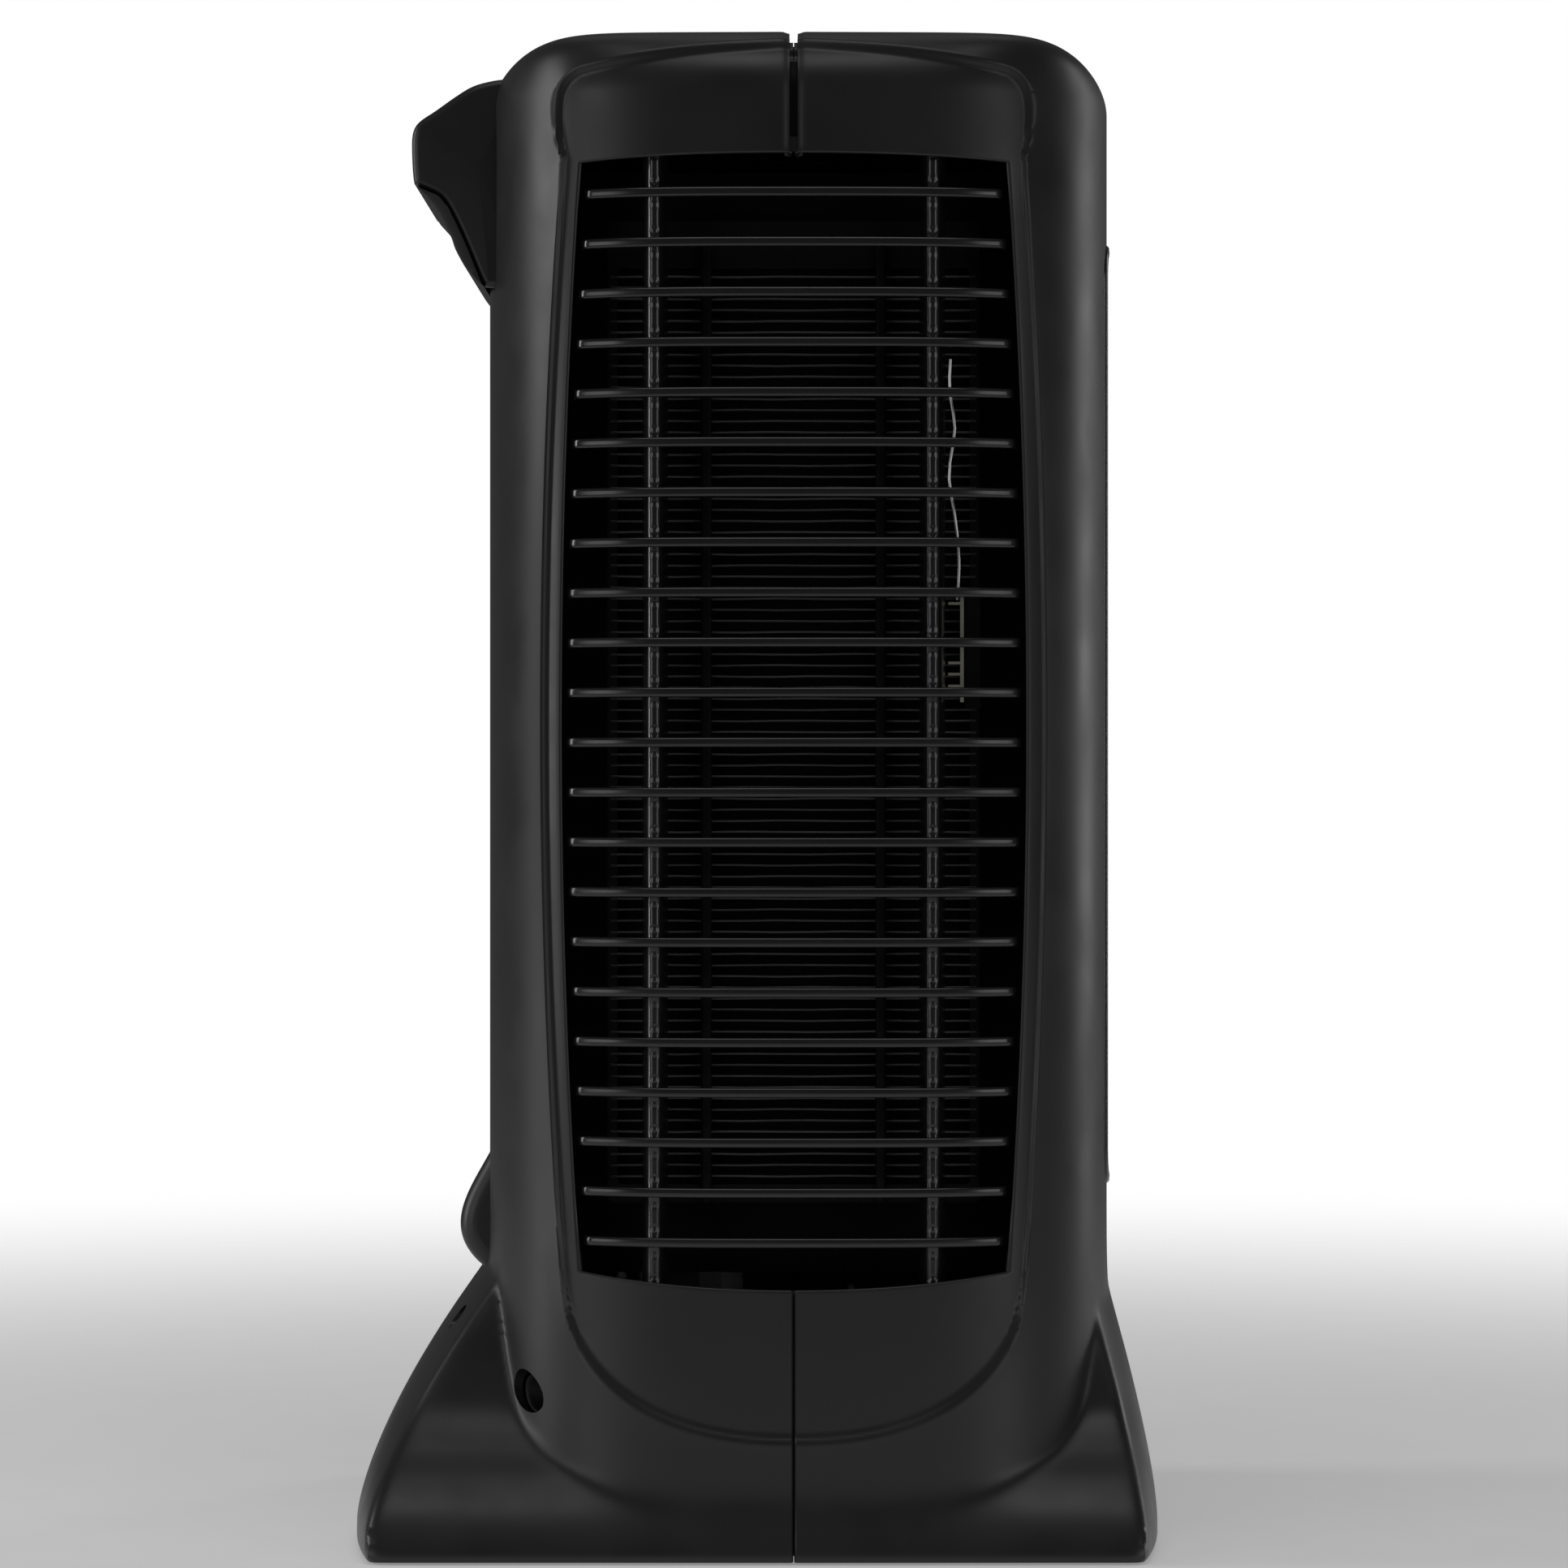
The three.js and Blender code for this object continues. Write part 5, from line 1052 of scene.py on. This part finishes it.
# ---- Stage ---------------------------------------------------------------------------------------
def soft_light(name, place, aim, width, height, power, tint=(1, 1, 1)):
    """A rectangular soft light aimed at a point."""
    lamp = bpy.data.lights.new(name, "AREA")
    lamp.shape = "RECTANGLE"
    lamp.size, lamp.size_y = width, height
    lamp.energy = power
    lamp.color = tint
    thing = bpy.data.objects.new(name, lamp)
    bpy.context.scene.collection.objects.link(thing)
    thing.location = place
    way = np.array(aim, float) - np.array(place, float)
    flat = math.hypot(way[0], way[1])
    thing.rotation_euler = (math.atan2(flat, -way[2]), 0, math.atan2(-way[0], way[1]))
    return thing


def pale_floor(studio):
    """Round pale floor whose edge fades into the white surround, by the distance from its middle."""
    radius = np.concatenate([[1.0, 200.0], np.linspace(300, 1500, 13)])
    angle = np.linspace(0, 2 * math.pi, 96, endpoint=False)
    rings = np.stack([radius[:, None] * np.cos(angle), radius[:, None] * np.sin(angle),
                      np.zeros((len(radius), 96))], axis=-1)
    floor = mesh_object("studio_floor", rings.reshape(-1, 3),
                        [grid_faces(len(radius), 96, wrap=True)[:, ::-1], np.arange(96)[None, :]])
    pale = material("pale_floor", (0.84, 0.84, 0.84), 0.65, grain=0.002, relief=0.00001, variation=0.01)
    nodes, links = pale.node_tree.nodes, pale.node_tree.links
    shader = nodes["Principled BSDF"]
    shader.inputs["Emission Color"].default_value = (1, 1, 1, 1)
    shader.inputs["Emission Strength"].default_value = studio.glow
    place = nodes.new("ShaderNodeTexCoord")
    far = nodes.new("ShaderNodeVectorMath")
    far.operation = "LENGTH"
    links.new(place.outputs["Object"], far.inputs[0])
    fade = nodes.new("ShaderNodeMapRange")
    fade.interpolation_type = "SMOOTHSTEP"
    fade.inputs["From Min"].default_value = 0.35
    fade.inputs["From Max"].default_value = 1.4
    fade.inputs["To Min"].default_value = 1
    fade.inputs["To Max"].default_value = 0
    links.new(far.outputs["Value"], fade.inputs["Value"])
    links.new(fade.outputs["Result"], shader.inputs["Alpha"])
    floor.data.materials.append(pale)


def make_surround(studio):
    """White surround behind everything, which lights the heater only a little."""
    world = bpy.data.worlds.new("studio")
    bpy.context.scene.world = world
    world.use_nodes = True
    nodes, links = world.node_tree.nodes, world.node_tree.links
    dim = nodes["Background"]
    dim.inputs["Color"].default_value = (1, 1, 1, 1)
    dim.inputs["Strength"].default_value = studio.ambient
    white = nodes.new("ShaderNodeBackground")
    white.inputs["Color"].default_value = (1, 1, 1, 1)
    white.inputs["Strength"].default_value = 1.0
    seen = nodes.new("ShaderNodeLightPath")
    mix = nodes.new("ShaderNodeMixShader")
    links.new(seen.outputs["Is Camera Ray"], mix.inputs["Fac"])
    links.new(dim.outputs["Background"], mix.inputs[1])
    links.new(white.outputs["Background"], mix.inputs[2])
    links.new(mix.outputs["Shader"], nodes["World Output"].inputs["Surface"])


def make_stage(studio):
    """Pale floor, white surround, tall soft lights left and right, and the camera."""
    scene = bpy.context.scene
    pale_floor(studio)
    make_surround(studio)
    for hand, side, back in (("left", studio.left, 0.0), ("right", studio.right, 1.5)):
        sign = -1 if hand == "left" else 1
        soft_light(f"{hand}_strip", (sign * 2.0, back, 0.7), (0, 0, 0.25), 0.4, 1.5, side)
        soft_light(f"{hand}_box", (sign * 1.6, -1.45, 0.45), (0, 0, 0.25), 0.8, 1.0, studio.fill)
    soft_light("top_box", (0.0, -0.7, 2.1), (0, 0, 0.2), 1.4, 0.8, studio.top)
    soft_light("rear_box", (0.0, 1.2, 2.4), (0, 0, 0.1), 1.6, 0.8, studio.back)
    lens = bpy.data.cameras.new("camera")
    lens.sensor_width = 36
    lens.lens = studio.lens
    camera = bpy.data.objects.new("camera", lens)
    scene.collection.objects.link(camera)
    camera.location = (0.00772, -1.695, 0.2328)
    camera.rotation_euler = (math.pi / 2, 0, 0)
    scene.camera = camera
    scene.view_settings.view_transform = "Standard"


# ---- Settings ------------------------------------------------------------------------------------
class HeaterSizes(bpy.types.PropertyGroup):
    """Sizes of the pieces that a user would change."""
    wall: bpy.props.FloatProperty(
        name="Shell wall", description="Thickness of the moulded shell wall", default=0.0022, unit="LENGTH")
    louvre_height: bpy.props.FloatProperty(
        name="Blade nose", description="Height of a grille blade at its nose", default=0.003, unit="LENGTH")
    fins: bpy.props.IntProperty(
        name="Guard fins", description="Number of thin fins in a side guard", default=82, min=10, max=120)
    fin_thickness: bpy.props.FloatProperty(
        name="Fin thickness", description="Thickness of one guard fin", default=0.00055, unit="LENGTH")


class HeaterColours(bpy.types.PropertyGroup):
    """Base colours of the main finishes."""
    shell: bpy.props.FloatVectorProperty(
        name="Shell", description="Satin shell moulding", subtype="COLOR", size=3,
        default=(0.0125, 0.0125, 0.0128))
    grille: bpy.props.FloatVectorProperty(
        name="Grille", description="Grille moulding", subtype="COLOR", size=3, default=(0.010, 0.010, 0.0105))
    # This grey is lighter than the fins' own blackened colour: the extra lightness paints their highlights.
    fins: bpy.props.FloatVectorProperty(
        name="Guard fins", description="Blackened guard fins", subtype="COLOR", size=3,
        default=(0.20, 0.20, 0.205))
    grip: bpy.props.FloatVectorProperty(
        name="Grip", description="Softer grip strip", subtype="COLOR", size=3, default=(0.020, 0.020, 0.0195))


class HeaterStudio(bpy.types.PropertyGroup):
    """Studio lights and lens."""
    lens: bpy.props.FloatProperty(name="Lens", description="Focal length in millimetres", default=122.1)
    left: bpy.props.FloatProperty(
        name="Left box", description="Power of the left soft light", default=12, unit="POWER")
    right: bpy.props.FloatProperty(name="Right box", description="Power of the right soft light", default=7,
                                   unit="POWER")
    fill: bpy.props.FloatProperty(
        name="Front fill", description="Power of each front light", default=4, unit="POWER")
    top: bpy.props.FloatProperty(
        name="Top box", description="Power of the overhead light", default=6, unit="POWER")
    back: bpy.props.FloatProperty(
        name="Rear box", description="Power of the light behind", default=1.5, unit="POWER")
    ambient: bpy.props.FloatProperty(
        name="Ambient", description="Strength of the even surround", default=0.08)
    glow: bpy.props.FloatProperty(
        name="Floor glow", description="Even light from the pale floor", default=0.25)


LOOKS = {}


class HEATER_OT_stage(bpy.types.Operator):
    """Make the floor, the lights and the camera"""
    bl_idname = "heater.stage"
    bl_label = "Studio"

    def execute(self, context):
        make_stage(context.scene.heater_studio)
        return {"FINISHED"}


class HEATER_OT_finishes(bpy.types.Operator):
    """Make the finishes and give them to the frame's own nodes"""
    bl_idname = "heater.finishes"
    bl_label = "Finishes"

    def execute(self, context):
        LOOKS.update(make_looks(context.scene.heater_colours))
        dress_frame(LOOKS)
        return {"FINISHED"}


class HEATER_OT_shells(bpy.types.Operator):
    """Make the two shell halves"""
    bl_idname = "heater.shells"
    bl_label = "Shell halves"

    def execute(self, context):
        make_shells(context.scene.heater_sizes, LOOKS)
        return {"FINISHED"}


class HEATER_OT_grilles(bpy.types.Operator):
    """Make the louvred side grilles"""
    bl_idname = "heater.grilles"
    bl_label = "Side grilles"

    def execute(self, context):
        make_side_grilles(context.scene.heater_sizes, LOOKS)
        return {"FINISHED"}


class HEATER_OT_guards(bpy.types.Operator):
    """Make the finned guards and their uprights"""
    bl_idname = "heater.guards"
    bl_label = "Guards"

    def execute(self, context):
        make_guards(context.scene.heater_sizes, LOOKS)
        return {"FINISHED"}


class HEATER_OT_handle(bpy.types.Operator):
    """Make the carrying handle, its grip and the rear cowl"""
    bl_idname = "heater.handle"
    bl_label = "Handle and cowl"

    def execute(self, context):
        make_handle(LOOKS)
        make_cowl(LOOKS)
        return {"FINISHED"}


class HEATER_OT_outlet(bpy.types.Operator):
    """Make the front outlet grille and the folded fins behind it"""
    bl_idname = "heater.outlet"
    bl_label = "Outlet and core"

    def execute(self, context):
        make_outlet(LOOKS)
        make_core(LOOKS)
        return {"FINISHED"}


class HEATER_OT_panel(bpy.types.Operator):
    """Make the control panel, its display and its buttons"""
    bl_idname = "heater.panel"
    bl_label = "Control panel"

    def execute(self, context):
        make_panel(LOOKS)
        return {"FINISHED"}


class HEATER_OT_base(bpy.types.Operator):
    """Make the feet, the tip-over plunger and the cord bush"""
    bl_idname = "heater.base"
    bl_label = "Base fittings"

    def execute(self, context):
        make_base_fittings(LOOKS)
        return {"FINISHED"}


STEPS = (HEATER_OT_stage, HEATER_OT_finishes, HEATER_OT_shells, HEATER_OT_grilles, HEATER_OT_guards,
         HEATER_OT_handle, HEATER_OT_outlet, HEATER_OT_panel, HEATER_OT_base)


class HEATER_PT_panel(bpy.types.Panel):
    """Sidebar panel with the settings and one button for each step"""
    bl_idname = "HEATER_PT_panel"
    bl_label = "Tower heater"
    bl_space_type = "VIEW_3D"
    bl_region_type = "UI"
    bl_category = "Heater"

    def draw(self, context):
        for group in (context.scene.heater_sizes, context.scene.heater_colours, context.scene.heater_studio):
            for name in group.__annotations__:
                self.layout.prop(group, name)
        for step in STEPS:
            self.layout.operator(step.bl_idname)


CLASSES = (HeaterSizes, HeaterColours, HeaterStudio, *STEPS, HEATER_PT_panel)


def register():
    for one in CLASSES:
        bpy.utils.register_class(one)
    bpy.types.Scene.heater_sizes = bpy.props.PointerProperty(type=HeaterSizes)
    bpy.types.Scene.heater_colours = bpy.props.PointerProperty(type=HeaterColours)
    bpy.types.Scene.heater_studio = bpy.props.PointerProperty(type=HeaterStudio)


def unregister():
    del bpy.types.Scene.heater_studio
    del bpy.types.Scene.heater_colours
    del bpy.types.Scene.heater_sizes
    for one in reversed(CLASSES):
        bpy.utils.unregister_class(one)


def main():
    register()
    for step in STEPS:
        group, name = step.bl_idname.split(".")
        getattr(getattr(bpy.ops, group), name)()


if __name__ == "__main__":
    main()
